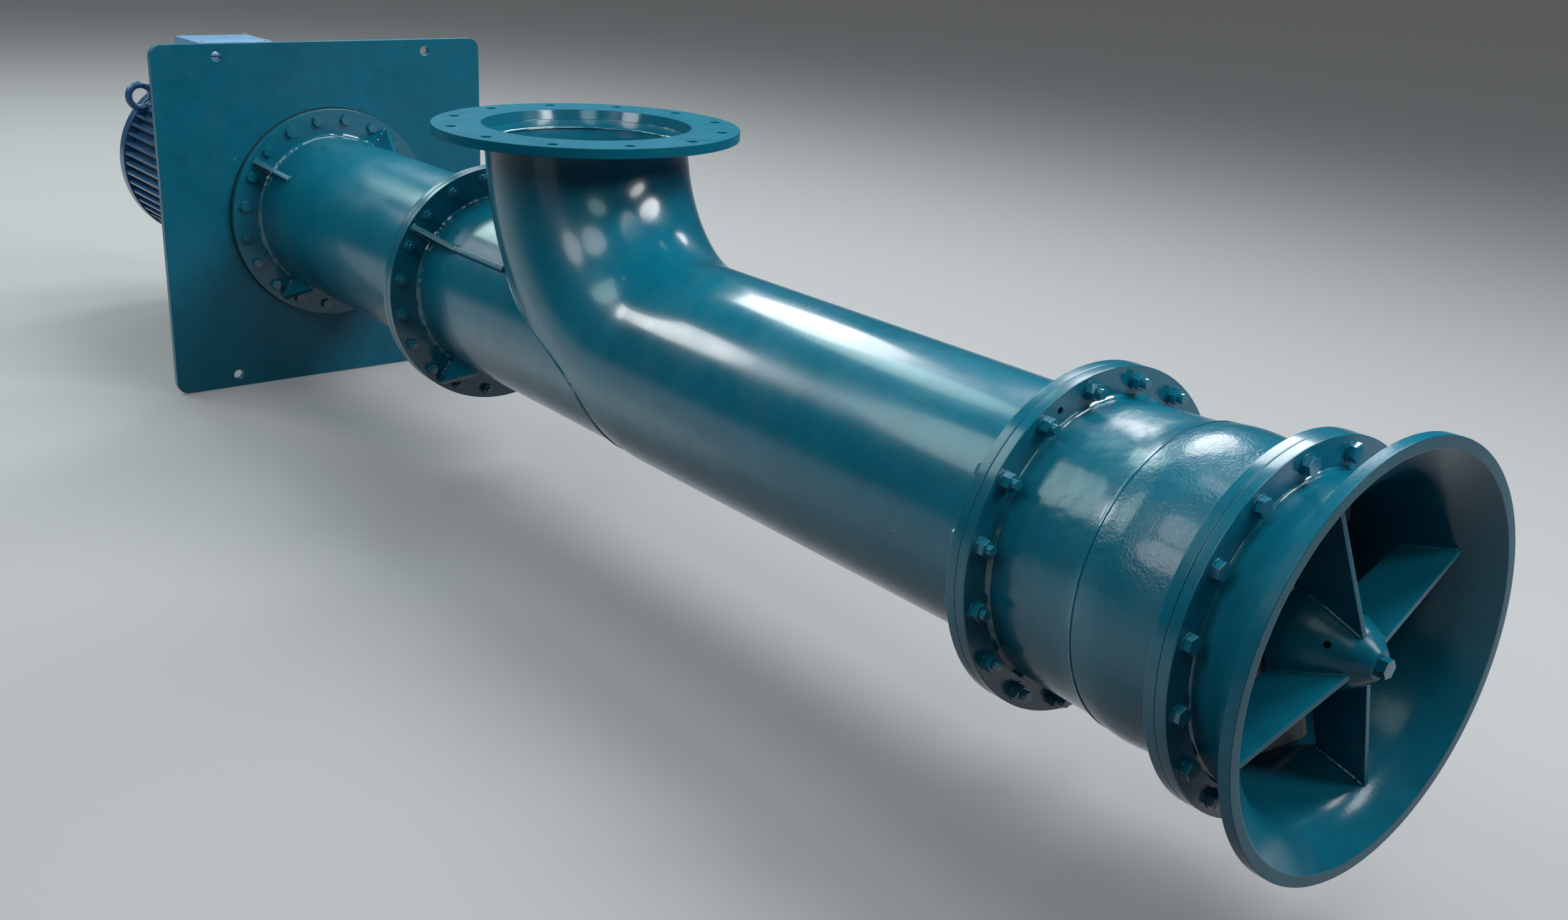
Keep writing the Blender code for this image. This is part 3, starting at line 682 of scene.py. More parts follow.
def bead_along(points: Sequence[Vector], radius: float, seed: int, pitch: float = 0.0045) -> BMesh:
    """Lay a small rippled weld along a line of points.

    Args:
        points: the line.
        radius: half thickness of the bead.
        seed: seed for its uneven edge.
        pitch: length of one ripple.

    Returns:
        A closed bead.
    """
    lengths = [(b - a).length for a, b in zip(points, points[1:])]
    total = sum(lengths)
    count = max(6, int(total / pitch) * 2)
    rng = random.Random(seed)
    bm = bmesh.new()
    rings = []
    for k in range(count + 1):
        d = total * k / count
        i = 0
        while i < len(lengths) - 1 and d > lengths[i]:
            d -= lengths[i]
            i += 1
        along = (points[i + 1] - points[i]).normalized()
        centre = points[i] + along * d
        r = radius * (1.0 + (0.10 if k % 2 else -0.10) + rng.uniform(-0.08, 0.08))
        if k in (0, count):
            r *= 0.55
        ring = bmesh.ops.create_circle(bm, cap_ends=False, segments=8, radius=r,
                                       matrix=Matrix.Translation(centre)
                                       @ along.to_track_quat("Z", "Y").to_matrix().to_4x4())
        rings.append(ring["verts"])
    for a, b in zip(rings, rings[1:]):
        bmesh.ops.bridge_loops(bm, edges=ring_edges(a) + ring_edges(b))
    for ring in (rings[0], rings[-1]):
        bmesh.ops.contextual_create(bm, geom=ring_edges(ring))
    bmesh.ops.recalc_face_normals(bm, faces=bm.faces[:])
    return bm


def grow_ring(bm: BMesh, edges: Sequence[BMEdge], place: Callable[[Vector], Vector]) -> list[BMEdge]:
    """Extrude a ring of edges and place its new vertices.

    Args:
        bm: the mesh.
        edges: the ring.
        place: gives the new place of a vertex from its old one.

    Returns:
        The edges of the new ring.
    """
    grown = bmesh.ops.extrude_edge_only(bm, edges=edges)["geom"]
    fresh = {g for g in grown if isinstance(g, BMVert)}
    for v in fresh:
        v.co = place(v.co)
    return [g for g in grown if isinstance(g, BMEdge) and fresh.issuperset(g.verts)]


# Finished pieces
def finish_piece(name: str, bm: BMesh, finish: Finish, body: str = PUMP, stands_for: Sequence[str] = (),
                 sharp: float = 38.0) -> None:
    """Turn a mesh into a finished piece that rides on a body.

    Args:
        name: the piece's name.
        bm: its mesh in world place, which is used up.
        finish: its finish.
        body: the body that it moves with.
        stands_for: nodes of the solids that it replaces.
        sharp: angle in degrees past which an edge stays crisp.
    """
    mesh = bpy.data.meshes.new(name)
    bm.to_mesh(mesh)
    bm.free()
    mesh.polygons.foreach_set("use_smooth", [True] * len(mesh.polygons))
    mesh.set_sharp_from_angle(angle=math.radians(sharp))
    mesh.materials.append(finish.material())
    obj = bpy.data.objects.new(name, mesh)
    bpy.context.scene.collection.objects.link(obj)
    obj.modifiers.new("even_normals", "WEIGHTED_NORMAL").keep_sharp = True
    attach(obj, body)
    if stands_for:
        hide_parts(*stands_for)
    LOG.info("piece %s: %d faces", name, len(mesh.polygons))


# Plate, column and flanges
@dataclass
class BasePlate:
    """The square plate that the motor stands on and the column hangs from."""

    half: float = 0.450
    thick: float = 0.020
    corner: float = 0.030
    edge: float = 0.0012
    bore: float = 0.038
    hole_x: float = 0.418
    hole_y: float = 0.286
    hole_r: float = 0.013
    chamfer: float = 0.0010

    def build(self) -> None:
        """Cut the plate with rounded edges and drilled holes."""
        h = self.half
        bm = slab([(h, h), (-h, h), (-h, -h), (h, -h)], 0.0, self.thick, self.edge, self.corner)
        cutter = collar(self.bore, 0.0, self.thick + 0.03, -0.03, 0.0, 64)
        for x in (-self.hole_x, self.hole_x):
            for y in (-self.hole_y, self.hole_y):
                join(cutter, self._drill(), shift(x, y, 0))
        finish_piece("base_plate_fine", carve(bm, cutter), PLATE_ENAMEL, stands_for=("base_plate",),
                     sharp=50)

    def _drill(self) -> BMesh:
        """Make one drill with a small chamfer at both faces of the plate."""
        r, t, c, past = self.hole_r, self.thick, self.chamfer, 0.019
        return turned([(0.0, t + 0.02), (r + c + past, t + past), (r, t - c), (r, c),
                       (r + c + past, -past), (0.0, -0.02)], 40)


@dataclass(frozen=True)
class FlangePair:
    """Two bolted flanges with a joint sheet between them; z is the lower face of the pair.

    stud is the length of thread past the nuts, or 0 for a pair that has only heads on its lower side.
    """

    name: str
    z: float
    r: float
    upper_in: float
    lower_in: float
    bolts: int
    bolt_r: float
    thread: float
    stud: float
    seed: int
    jacking_hole: Optional[float] = None
    hole_r: float = 0.0055
    sheet_back: float = 0.0022

    @property
    def top(self) -> float:
        """Return the height of the pair's upper face."""
        return self.z + 2 * FLANGE_T

    def build(self, extra: Optional[BMesh] = None) -> None:
        """Make both flanges, the sheet and the bolts.

        Args:
            extra: plates welded to the lower flange, which join its mesh.
        """
        joint = self.z + FLANGE_T
        upper = collar(self.r, self.upper_in, self.top, joint + HALF_GAP, RING_EDGE, 160)
        finish_piece(self.name + "_upper_flange", upper, FLANGE_ENAMEL,
                     stands_for=(self.name + "_flange_upper",))
        lower = collar(self.r, self.lower_in, joint - HALF_GAP, self.z, RING_EDGE, 160)
        if extra is not None:
            join(lower, extra)
        if self.jacking_hole is not None:
            drill = collar(self.hole_r, 0.0, self.z + 0.013, self.z - 0.01, 0.0, 24)
            spot = across(self.jacking_hole) * (self.r - 0.0215)
            lower = carve(lower, moved(drill, Matrix.Translation(spot)))
        finish_piece(self.name + "_lower_flange", lower, FLANGE_ENAMEL,
                     stands_for=(self.name + "_flange_lower",))
        edge = self.r - self.sheet_back
        sheet = collar(edge, self.r - 0.02, joint + 0.0012, joint - 0.0012, 0.0, 96)
        finish_piece(self.name + "_joint_sheet", sheet, JOINT_SHEET)
        first = 180.0 / self.bolts
        if self.stud:
            nuts = bolt_ring(self.bolts, self.bolt_r, self.z, False, first, self.thread, self.stud,
                             seed=self.seed)
            finish_piece(self.name + "_pair_nuts", nuts, WELD_ENAMEL)
            heads = bolt_ring(self.bolts, self.bolt_r, self.top, True, first, self.thread,
                              seed=self.seed + 1)
        else:
            heads = bolt_ring(self.bolts, self.bolt_r, self.z, False, first, self.thread,
                              seed=self.seed)
        finish_piece(self.name + "_pair_heads", heads, WELD_ENAMEL)


@dataclass
class Column:
    """Pipes and flanges from the base plate down to the bell."""

    flange_r: float = 0.2777
    flange_low: float = -0.020
    gusset_half: float = 0.006
    gusset_edge: float = 0.0012
    gusset_angles: tuple[float, ...] = (36.0, 126.0, 216.0, 306.0)
    strip_low: float = -1.245
    strip_out: float = 0.009
    toe_bead: float = 0.0034
    elbow_pair: FlangePair = FlangePair("elbow", ELBOW_PAIR_Z, 0.2690, PIPE_R + SLIP, STUB_R + SLIP,
                                        20, 0.2480, 0.014, 0.006, 31)
    bowl_pair: FlangePair = FlangePair("bowl", BOWL_PAIR_Z, 0.2690, PIPE_R + SLIP, 0.2223,
                                       16, 0.2475, 0.016, 0.009, 41, 64.0)
    bell_pair: FlangePair = FlangePair("bell", BELL_PAIR_Z, 0.2700, 0.2243, 0.2243,
                                       16, 0.2475, 0.016, 0.0, 51)

    def build(self) -> None:
        """Make the pipes, flanges, gussets, bolts and welds."""
        self.pipes()
        self.top_flange()
        self.pairs()

    def pipes(self) -> None:
        """Turn the two straight pipes and the stub that is cut to the elbow's back."""
        low = ELBOW_PAIR_Z + FLANGE_T
        bm = collar(PIPE_R, PIPE_IN, -SLIP, low + HALF_GAP, 0.0008)
        finish_piece("upper_column_fine", bm, PIPE_ENAMEL, stands_for=("upper_column_pipe",))
        bm = collar(PIPE_R, PIPE_IN, BEND_Z, BOWL_PAIR_Z + FLANGE_T + HALF_GAP, 0.0)
        finish_piece("lower_column_fine", bm, PIPE_ENAMEL, stands_for=("lower_column_pipe",))
        bm = collar(STUB_R, STUB_IN, low - HALF_GAP, BEND_Z, 0.0, 160)
        for v in bm.verts:
            if v.co.z < BEND_Z + 0.1:
                v.co.z = self.seam(v.co.x, v.co.y) + 0.0004
        finish_piece("elbow_stub_fine", bm, PIPE_ENAMEL, stands_for=("elbow_stub_pipe",))
        around = [across(2.0 * k) * (STUB_R + 0.0012) for k in range(181)]
        line = [Vector((u.x, u.y, self.seam(u.x, u.y) + 0.001)) for u in around]
        finish_piece("stub_saddle_weld", bead_along(line, 0.0024, 5), WELD_ENAMEL)

    def seam(self, x: float, y: float) -> float:
        """Return the height at which the elbow's back lies over a point.

        Args:
            x: place across the pump.
            y: place along the pump's side.

        Returns:
            The height of the elbow's outer surface.
        """
        rho = BEND_R + math.sqrt(max(0.0, PIPE_R ** 2 - y * y))
        return BEND_Z + math.sqrt(max(0.0, rho * rho - (x - BEND_R) ** 2))

    def plate(self, outline: Sequence[tuple[float, float]]) -> BMesh:
        """Cut a gusset or strip from plate, standing in the XZ plane."""
        return moved(slab(outline, -self.gusset_half, self.gusset_half, self.gusset_edge), STAND_UP)

    def gussets(self, name: str, pipe_r: float, z: float, reach: float, drop: float,
                nose: float) -> BMesh:
        """Set four triangular gussets round the pipe and lay their toe welds as a piece of their own.

        Args:
            name: start of the weld piece's name.
            pipe_r: the pipe's radius.
            z: lower face of the flange.
            reach: radius of the gussets' outer tips.
            drop: their length down the pipe.
            nose: height left at their tips.

        Returns:
            The four plates in one mesh.
        """
        bm = bmesh.new()
        welds = bmesh.new()
        root = pipe_r - 0.001
        outline = [(root, z + 0.001), (root, z - drop), (pipe_r + nose, z - drop), (reach, z - nose),
                   (reach, z + 0.001)]
        for k, angle in enumerate(self.gusset_angles):
            place = swung(angle)
            join(bm, self.plate(outline), place)
            for side in (-1, 1):
                y = side * (self.gusset_half + 0.0008)
                up = ((pipe_r + 0.001, z - 0.004), (pipe_r + 0.001, z - drop + 0.002))
                out = ((pipe_r + 0.006, z - 0.001), (reach - 0.002, z - 0.001))
                for j, line in enumerate((up, out)):
                    points = [Vector((r, y, height)) for r, height in line]
                    join(welds, bead_along(points, self.toe_bead, 7 * k + 3 * side + j + 11), place)
        finish_piece(name + "_welds", welds, WELD_ENAMEL)
        return bm

    def top_flange(self) -> None:
        """Make the bolted flange under the base plate, with its gussets."""
        r, z = self.flange_r, self.flange_low
        bm = collar(r, PIPE_R + SLIP, -SLIP, z, RING_EDGE, 160)
        join(bm, self.gussets("top_gusset", PIPE_R, z, r - 0.010, 0.118, 0.006))
        finish_piece("top_flange_fine", bm, PIPE_ENAMEL, stands_for=("top_column_flange",))
        finish_piece("top_flange_weld", weld_ring(PIPE_R, z, 0.0085, seed=3), WELD_ENAMEL)
        heads = bolt_ring(20, 0.2500, z, False, 9.0, 0.016, washer=False, seed=21)
        finish_piece("top_flange_bolts", heads, WELD_ENAMEL)
        # A dark ring 2.3 mm proud of the flange's edge against the plate: partly a joint sheet, partly a
        # painted shade line for the flange's shadow and dark reflection on the plate
        sheet = collar(0.2800, 0.262, -0.0002, -0.0024, 0.0, 160)
        finish_piece("top_flange_sheet_and_shade_line", sheet, JOINT_SHEET)

    def pairs(self) -> None:
        """Make the three flange pairs and the welds that hold them on the pipes."""
        pair = self.elbow_pair
        plates = self.gussets("elbow_gusset", STUB_R, pair.z, pair.r - 0.006, 0.112, 0.008)
        back, front, high = STUB_R - 0.002, STUB_R + self.strip_out, pair.z + 0.001
        low = self.strip_low
        strip = self.plate([(back, low), (front, low), (front, high), (back, high)])
        join(plates, strip, swung(self.gusset_angles[0]))
        pair.build(plates)
        self.bowl_pair.build()
        self.bell_pair.build()
        welds = (("elbow_pair_welds", STUB_R, pair.z, 0.0075, False, 6),
                 ("upper_column_weld", PIPE_R, pair.top, 0.0075, True, 8),
                 ("lower_column_weld", PIPE_R, self.bowl_pair.top, 0.0080, True, 9))
        for name, radius, z, size, up, seed in welds:
            finish_piece(name, weld_ring(radius, z, size, up, seed=seed), WELD_ENAMEL)


# Elbow
@dataclass
class Elbow:
    """The quarter bend to the discharge and its drilled flange."""

    seat_r: float = 0.2045
    z_axis: float = -1.299
    x_face: float = 0.415
    x_lip: float = 0.379
    flange_r: float = 0.312
    flange_t: float = 0.020
    flange_edge: float = 0.0014
    bore_r: float = 0.2125
    bolt_r: float = 0.278
    hole_r: float = 0.011
    chamfer: float = 0.0007
    holes: int = 12
    tool_marks: int = 27
    mark_h: float = 0.00004

    def build(self) -> None:
        """Bend the pipe and turn the flange."""
        self.bend()
        self.flange()
        self.bore()

    def bend(self) -> None:
        """Sweep the outer and inner walls and close them at both ends."""
        lip = math.acos(1 - self.x_lip / BEND_R)
        centre, foot = Vector((BEND_R, 0, BEND_Z)), Vector((0, 0, BEND_Z))
        bm = bmesh.new()
        rings: list[list[BMEdge]] = []
        for radius, angle in ((PIPE_R, math.pi / 2), (PIPE_IN, lip)):
            start = bmesh.ops.create_circle(bm, cap_ends=False, segments=128, radius=radius,
                                            matrix=Matrix.Translation(foot))["verts"]
            edges = ring_edges(start)
            rings.append(edges)
            out = bmesh.ops.spin(bm, geom=start + edges, cent=centre, axis=(0, 1, 0),
                                 dvec=(0, 0, 0), angle=angle, steps=40, use_merge=False,
                                 use_duplicate=False)["geom_last"]
            rings.append([g for g in out if isinstance(g, BMEdge)])
        _, _, inner_start, inner_end = rings
        turn = Matrix.Rotation(math.pi / 2 - lip, 3, "Y")
        seat = grow_ring(bm, inner_end,
                         lambda co: self._at_mouth(centre + turn @ (co - centre), self.seat_r))
        grow_ring(bm, seat, lambda co: self._at_mouth(co, PIPE_R))
        grow_ring(bm, inner_start, lambda co: foot + (co - foot).normalized() * PIPE_R)
        bmesh.ops.remove_doubles(bm, verts=bm.verts[:], dist=1e-5)
        bmesh.ops.recalc_face_normals(bm, faces=bm.faces[:])
        finish_piece("discharge_elbow_fine", bm, BEND_ENAMEL, stands_for=("discharge_elbow",))
        weld = weld_ring(PIPE_R, 0.0, 0.0080, seed=14)
        finish_piece("discharge_weld", self._lie(weld, self.x_face - self.flange_t), WELD_ENAMEL)
        inner = weld_ring(PIPE_IN + 0.0012, 0.0, 0.0030, up=True, inside=True, seed=15, wander=0.0006)
        finish_piece("discharge_lip_weld", self._lie(inner, self.x_lip - 0.0005), WELD_ENAMEL)

    def _at_mouth(self, co: Vector, radius: float) -> Vector:
        """Put a point of the mouth's plane at a radius from the discharge axis."""
        axis = Vector((co.x, 0, self.z_axis))
        return axis + (co - axis).normalized() * radius

    def _lie(self, bm: BMesh, x: float) -> BMesh:
        """Lay a mesh turned about Z along the discharge, its zero height at x."""
        return moved(bm, shift(x, 0, self.z_axis) @ Matrix.Rotation(math.pi / 2, 4, "Y"))

    def flange(self) -> None:
        """Turn the flange with its tapered bore and drill its holes."""
        low = -self.flange_t + SLIP
        bm = turned([(self.flange_r, 0.0, self.flange_edge), (self.flange_r, low, self.flange_edge),
                     (self.seat_r, low), (self.bore_r, 0.0, 0.0008)], 192)
        drills = bmesh.new()
        r, c, past, back = self.hole_r, self.chamfer, 0.01, -self.flange_t
        for k in range(self.holes):
            drill = turned([(0.0, past), (r + past + c, past), (r, -c), (r, back + c),
                            (r + past + c, back - past), (0.0, back - past)], 32)
            spot = across((k + 0.5) * 360.0 / self.holes) * self.bolt_r
            join(drills, drill, Matrix.Translation(spot))
        bm = self._lie(carve(bm, drills), self.x_face)
        finish_piece("discharge_flange_fine", bm, FACE_ENAMEL, stands_for=("discharge_flange",))

    def bore(self) -> None:
        """Lay the bore's paint over its tool marks, which are 1.4 mm apart and 0.08 mm deep."""
        top = Vector((self.bore_r - 0.0004, 0, -0.0006))
        low = Vector((self.seat_r - 0.0001, 0, 0.0006 - self.flange_t))
        wall = [top.lerp(low, k / (self.tool_marks - 1)) for k in range(self.tool_marks)]
        skin = [(p.x + (self.mark_h if k % 2 else -self.mark_h), p.z) for k, p in enumerate(wall)]
        back = [(p.x + 0.0020, p.z) for p in (low, top)]
        bm = self._lie(turned(skin + back, 192), self.x_face)
        finish_piece("discharge_bore_paint", bm, BORE_ENAMEL)


# Bowl and bell
@dataclass
class BowlAndBell:
    """Cast bowl, suction bell, its ribs and the lower bearing hub.

    Lines, beads and outlines are radius and height of their points, walls from the top down.
    """

    throat: float = 0.204
    z_rim: float = -3.1940
    rib_t: float = 0.009
    rib_angles: tuple[float, ...] = (67.5, 157.5, 247.5, 337.5)
    bowl_line: Line = ((0.2220, BOWL_PAIR_Z), (0.2232, -2.740), (0.2245, -2.770), (0.2258, -2.815),
                       (0.2272, -2.848), (0.2300, -2.870), (0.2338, -2.892), (0.2362, -2.915),
                       (0.2360, -2.935), (0.2335, -2.960), (0.2295, -2.986), (0.2262, -3.008),
                       (0.2245, -3.025), (0.2240, -3.036))
    seam_section: Line = ((0.2300, -2.8745), (0.2319, -2.8752), (0.2328, -2.8775), (0.2330, -2.8800),
                          (0.2300, -2.8800))
    flare_line: Line = ((0.2242, BELL_PAIR_Z - 0.002), (0.2252, -3.084), (0.2275, -3.096),
                        (0.2330, -3.1105), (0.2400, -3.124), (0.2490, -3.136), (0.2640, -3.151),
                        (0.2800, -3.163), (0.2945, -3.1715), (0.3050, -3.1768))
    # Inside the bell, from the rim up to the throat
    mouth_line: Line = ((0.2880, -3.1940), (0.2700, -3.181), (0.2530, -3.167), (0.2400, -3.152),
                        (0.2300, -3.132), (0.2220, -3.112), (0.2140, -3.092), (0.2080, -3.078),
                        (0.2050, -3.066), (0.204, -3.058))
    rib_outline: Line = ((0.0760, -3.0800), (0.0760, -3.0942), (0.0640, -3.1230), (0.0472, -3.1530),
                         (0.0375, -3.1714), (0.2410, -3.1535), (0.2344, -3.1410), (0.2247, -3.1190),
                         (0.2167, -3.0990), (0.2088, -3.0800))
    rib_wall_bead: Line = ((0.2075, -3.0795), (0.2150, -3.0990), (0.2230, -3.1190),
                           (0.2325, -3.1410), (0.2385, -3.1515))
    rib_hub_bead: Line = ((0.0788, -3.0950), (0.0663, -3.1230), (0.0495, -3.1530), (0.0400, -3.1690))
    hub_line: Line = ((0.0780, -3.0940), (0.0725, -3.1075), (0.0655, -3.1228), (0.0575, -3.1375),
                      (0.0487, -3.1528), (0.0430, -3.1632), (0.0385, -3.1712), (0.0291, -3.1818))
    hub_top: float = -3.0740
    hub_low: float = -3.1905
    hub_step: float = -3.1420
    hub_bore: float = 0.0285
    plug_bore: float = 0.0110
    drain_angles: tuple[float, ...] = (25.0, 115.0, 205.0, 295.0)
    drain_r: float = 0.0050

    def build(self) -> None:
        """Make the castings from the bowl down."""
        self.bowl()
        self.bell()
        self.ribs()
        self.hub()

    def bowl(self) -> None:
        """Turn the bowl: smooth near the column, coarse below its weld line."""
        top = BOWL_PAIR_Z + FLANGE_T - HALF_GAP
        low = BELL_PAIR_Z + FLANGE_T + HALF_GAP
        bm = turned([(self.bowl_line[0][0], top)] + smooth_line(self.bowl_line, 4)
                    + [(self.bowl_line[-1][0], low), (self.throat, low), (self.throat, top)], 160)
        finish_piece("pump_bowl_fine", bm, CAST_ENAMEL, stands_for=("pump_bowl",))
        seam = turned(self.seam_section, 480)
        ripple_ring(seam, (0.2305, -2.8775), 480, 17, 0.00008, 0.0003)
        finish_piece("bowl_seam_weld", seam, WELD_ENAMEL)
        upper = weld_ring(0.2222, BOWL_PAIR_Z, 0.0055, seed=18, wander=0.0005)
        finish_piece("bowl_top_weld", upper, WELD_ENAMEL)
        lower = weld_ring(0.2240, BELL_PAIR_Z + 2 * FLANGE_T, 0.0135, True, seed=19, wander=0.0026)
        finish_piece("bowl_low_weld", lower, WELD_ENAMEL)

    def bell(self) -> None:
        """Turn the flared bell with its rolled rim."""
        joint = BELL_PAIR_Z + FLANGE_T - HALF_GAP
        outer = smooth_line(self.flare_line, 3)
        inner = smooth_line(self.mouth_line, 3)
        inner[0] = inner[0]._replace(fillet=0.0012)
        rim = Corner(self.flare_line[-1][0], self.z_rim, RING_EDGE)
        bm = turned([(self.flare_line[0][0], joint)] + outer + [rim] + inner
                    + [(self.throat, joint)], 192)
        finish_piece("suction_bell_fine", bm, BELL_ENAMEL, stands_for=("suction_bell",))
        ring = weld_ring(0.2242, BELL_PAIR_Z, 0.0038, seed=23, pitch=0.0032, wander=0.0004)
        finish_piece("bell_seam_line", ring, WELD_ENAMEL)

    def ribs(self) -> None:
        """Cut the four ribs and lay the welds at their roots."""
        half = self.rib_t / 2
        for k, angle in enumerate(self.rib_angles):
            place = swung(angle)
            bm = moved(slab(self.rib_outline, -half, half, 0.0013), place @ STAND_UP)
            for line, size in ((self.rib_wall_bead, 0.0030), (self.rib_hub_bead, 0.0026)):
                for side in (-1, 1):
                    points = [Vector((r, side * (half + 0.0006), z)) for r, z in line]
                    join(bm, bead_along(points, size, 5 * k + side + 40), place)
            finish_piece("bell_rib_fine_%d" % (k + 1), bm, RIB_ENAMEL,
                         stands_for=("bell_rib_%d" % (k + 1),))

    def hub(self) -> None:
        """Turn the bearing hub cone with its drilled drain holes, and its hexagon plug."""
        bm = turned([(self.hub_line[0][0], self.hub_top)] + smooth_line(self.hub_line, 2)
                    + [(0.0203, self.hub_low, 0.0012), (self.plug_bore, self.hub_low),
                       (self.plug_bore, self.hub_step), (self.hub_bore, self.hub_step),
                       (self.hub_bore, self.hub_top)], 96)
        drills = bmesh.new()
        for angle in self.drain_angles:
            # The holes are square to the cone, 30 degrees below level.
            place = outward_frame(angle, 0.0548, -3.142) @ Matrix.Rotation(math.radians(30), 4, "X")
            join(drills, collar(self.drain_r, 0.0, 0.012, -0.022, 0.0, 28), place)
        finish_piece("bearing_hub_fine", carve(bm, drills), RIB_ENAMEL, stands_for=("bearing_hub",))
        plug = bmesh.new()
        hexagon(0.0246, 0.0130, shift(0, 0, self.hub_low - 0.0005) @ HEAD_DOWN, plug)
        join(plug, collar(0.0103, 0.0, -3.150, -3.1915, 0.0, 24))
        finish_piece("hub_plug_fine", plug, WELD_ENAMEL, stands_for=("hub_plug",))


# Stool, seal and coupling
@dataclass
class Stool:
    """The open stool between base plate and motor, with the seal and the coupling inside it."""

    wall_r: float = 0.210
    wall_in: float = 0.200
    foot_r: float = 0.265
    top_r: float = 0.275
    plate_top: float = 0.0203
    top: float = 0.245
    ring_t: float = 0.020
    window_x: float = 0.105
    window_low: float = 0.075
    window_top: float = 0.195
    window_corner: float = 0.022
    motor_nuts_z: float = 0.2680
    shaft_r: float = 0.0275
    seal_r: float = 0.0820
    neck_r: float = 0.0520
    seal_step: float = 0.0480
    seal_top: float = 0.0880
    gland_r: float = 0.0400
    gland_top: float = 0.0965
    stud_r: float = 0.0455
    coupling_r: float = 0.0850
    hub_r: float = 0.0500
    coupling_bolt_r: float = 0.0690
    coupling_low: float = 0.1280
    coupling_high: float = 0.1720
    coupling_hub: float = 0.0260
    motor_end_r: float = 0.0328

    def build(self) -> None:
        """Make the stool, its bolts, the shaft seal and the coupling."""
        self.barrel()
        self.rings()
        self.seal()
        self.coupling()

    def barrel(self) -> None:
        """Turn the wall and cut its two windows with rounded corners."""
        bm = collar(self.wall_r, self.wall_in, self.top, self.plate_top, 0.0, 160)
        x, low, high = self.window_x, self.window_low, self.window_top
        cutter = slab([(-x, low), (x, low), (x, high), (-x, high)], -0.4, 0.4, 0.0, self.window_corner)
        bm = carve(bm, moved(cutter, STAND_UP))
        finish_piece("motor_stool_fine", bm, FLANGE_ENAMEL, stands_for=("motor_stool",))

    def rings(self) -> None:
        """Make the foot and top rings with their welds, bolts and nuts."""
        foot, under = self.plate_top + self.ring_t, self.top - self.ring_t
        low = collar(self.foot_r, self.wall_r + SLIP, foot, self.plate_top, RING_EDGE)
        finish_piece("stool_foot_fine", low, FLANGE_ENAMEL, stands_for=("stool_foot_ring",))
        high = collar(self.top_r, self.wall_r + SLIP, self.top, under, RING_EDGE)
        finish_piece("stool_top_fine", high, FLANGE_ENAMEL, stands_for=("stool_top_ring",))
        welds = weld_ring(self.wall_r, foot, 0.0070, True, seed=61)
        join(welds, weld_ring(self.wall_r, under, 0.0070, seed=62))
        finish_piece("stool_welds", welds, WELD_ENAMEL)
        bolts = bolt_ring(8, 0.2395, foot, True, 22.5, 0.020, seed=63)
        join(bolts, bolt_ring(8, 0.2500, under, False, 22.5, 0.016, stud=0.008, seed=64))
        join(bolts, bolt_ring(8, 0.2620, self.motor_nuts_z, True, 22.5, 0.014, seed=65))
        finish_piece("stool_bolts", bolts, ZINC_STEEL)

    def seal(self) -> None:
        """Turn the seal housing with its gland, two studs and six base bolts."""
        r, neck, step, top = self.seal_r, self.neck_r, self.seal_step, self.seal_top
        inner = self.shaft_r + 0.0012
        bm = turned([(r, self.plate_top), (inner, self.plate_top), (inner, top), (neck, top, 0.0020),
                     (neck, step + 0.004, 0.003), (neck + 0.004, step), (r, step, 0.0025)], 72)
        finish_piece("seal_housing_fine", bm, FLANGE_ENAMEL, stands_for=("shaft_seal_housing",))
        bolts = bolt_ring(6, 0.0690, step, True, 30.0, 0.008, seed=66)
        finish_piece("seal_housing_bolts", bolts, ZINC_STEEL)
        gland = collar(self.gland_r, inner, self.gland_top, top + 0.0002, 0.0012, 48)
        studs = bmesh.new()
        for angle in (90.0, 270.0):
            spot = across(angle) * self.stud_r
            ear = collar(0.0100, 0.0, self.gland_top - 0.0003, top + 0.0004, 0.0010, 24)
            join(gland, ear, Matrix.Translation(spot))
            disc(0.0040, 0.0125, shift(spot.x, spot.y, top - 0.0005), studs, 16)
        finish_piece("seal_gland", gland, GLAND_BRASS)
        finish_piece("seal_gland_studs", studs, ZINC_STEEL)

    def coupling(self) -> None:
        """Turn the two halves of the rigid coupling and set its six bolts."""
        low, high, bolt_r = self.coupling_low, self.coupling_high, self.coupling_bolt_r
        middle = (low + high) / 2
        bolts = bolt_ring(6, bolt_r, high, True, 0.0, 0.010, seed=67)
        join(bolts, bolt_ring(6, bolt_r, low, False, 0.0, 0.010, stud=0.004, seed=68))
        finish_piece("coupling_bolts", bolts, ZINC_STEEL, ROTOR)
        hub = self.coupling_hub
        halves = (("coupling_lower_half", low - hub, low, middle - SLIP, self.shaft_r + SLIP),
                  ("coupling_upper_half", high + hub, high, middle + SLIP, self.motor_end_r))
        for name, end, shoulder, joint, bore in halves:
            bm = turned([(bore, end), (self.hub_r, end, 0.0020), (self.hub_r, shoulder, 0.0030),
                         (self.coupling_r, shoulder, 0.0015), (self.coupling_r, joint, 0.0012),
                         (bore, joint)], 72)
            finish_piece(name, bm, SHAFT_STEEL, ROTOR, ("shaft_coupling",))


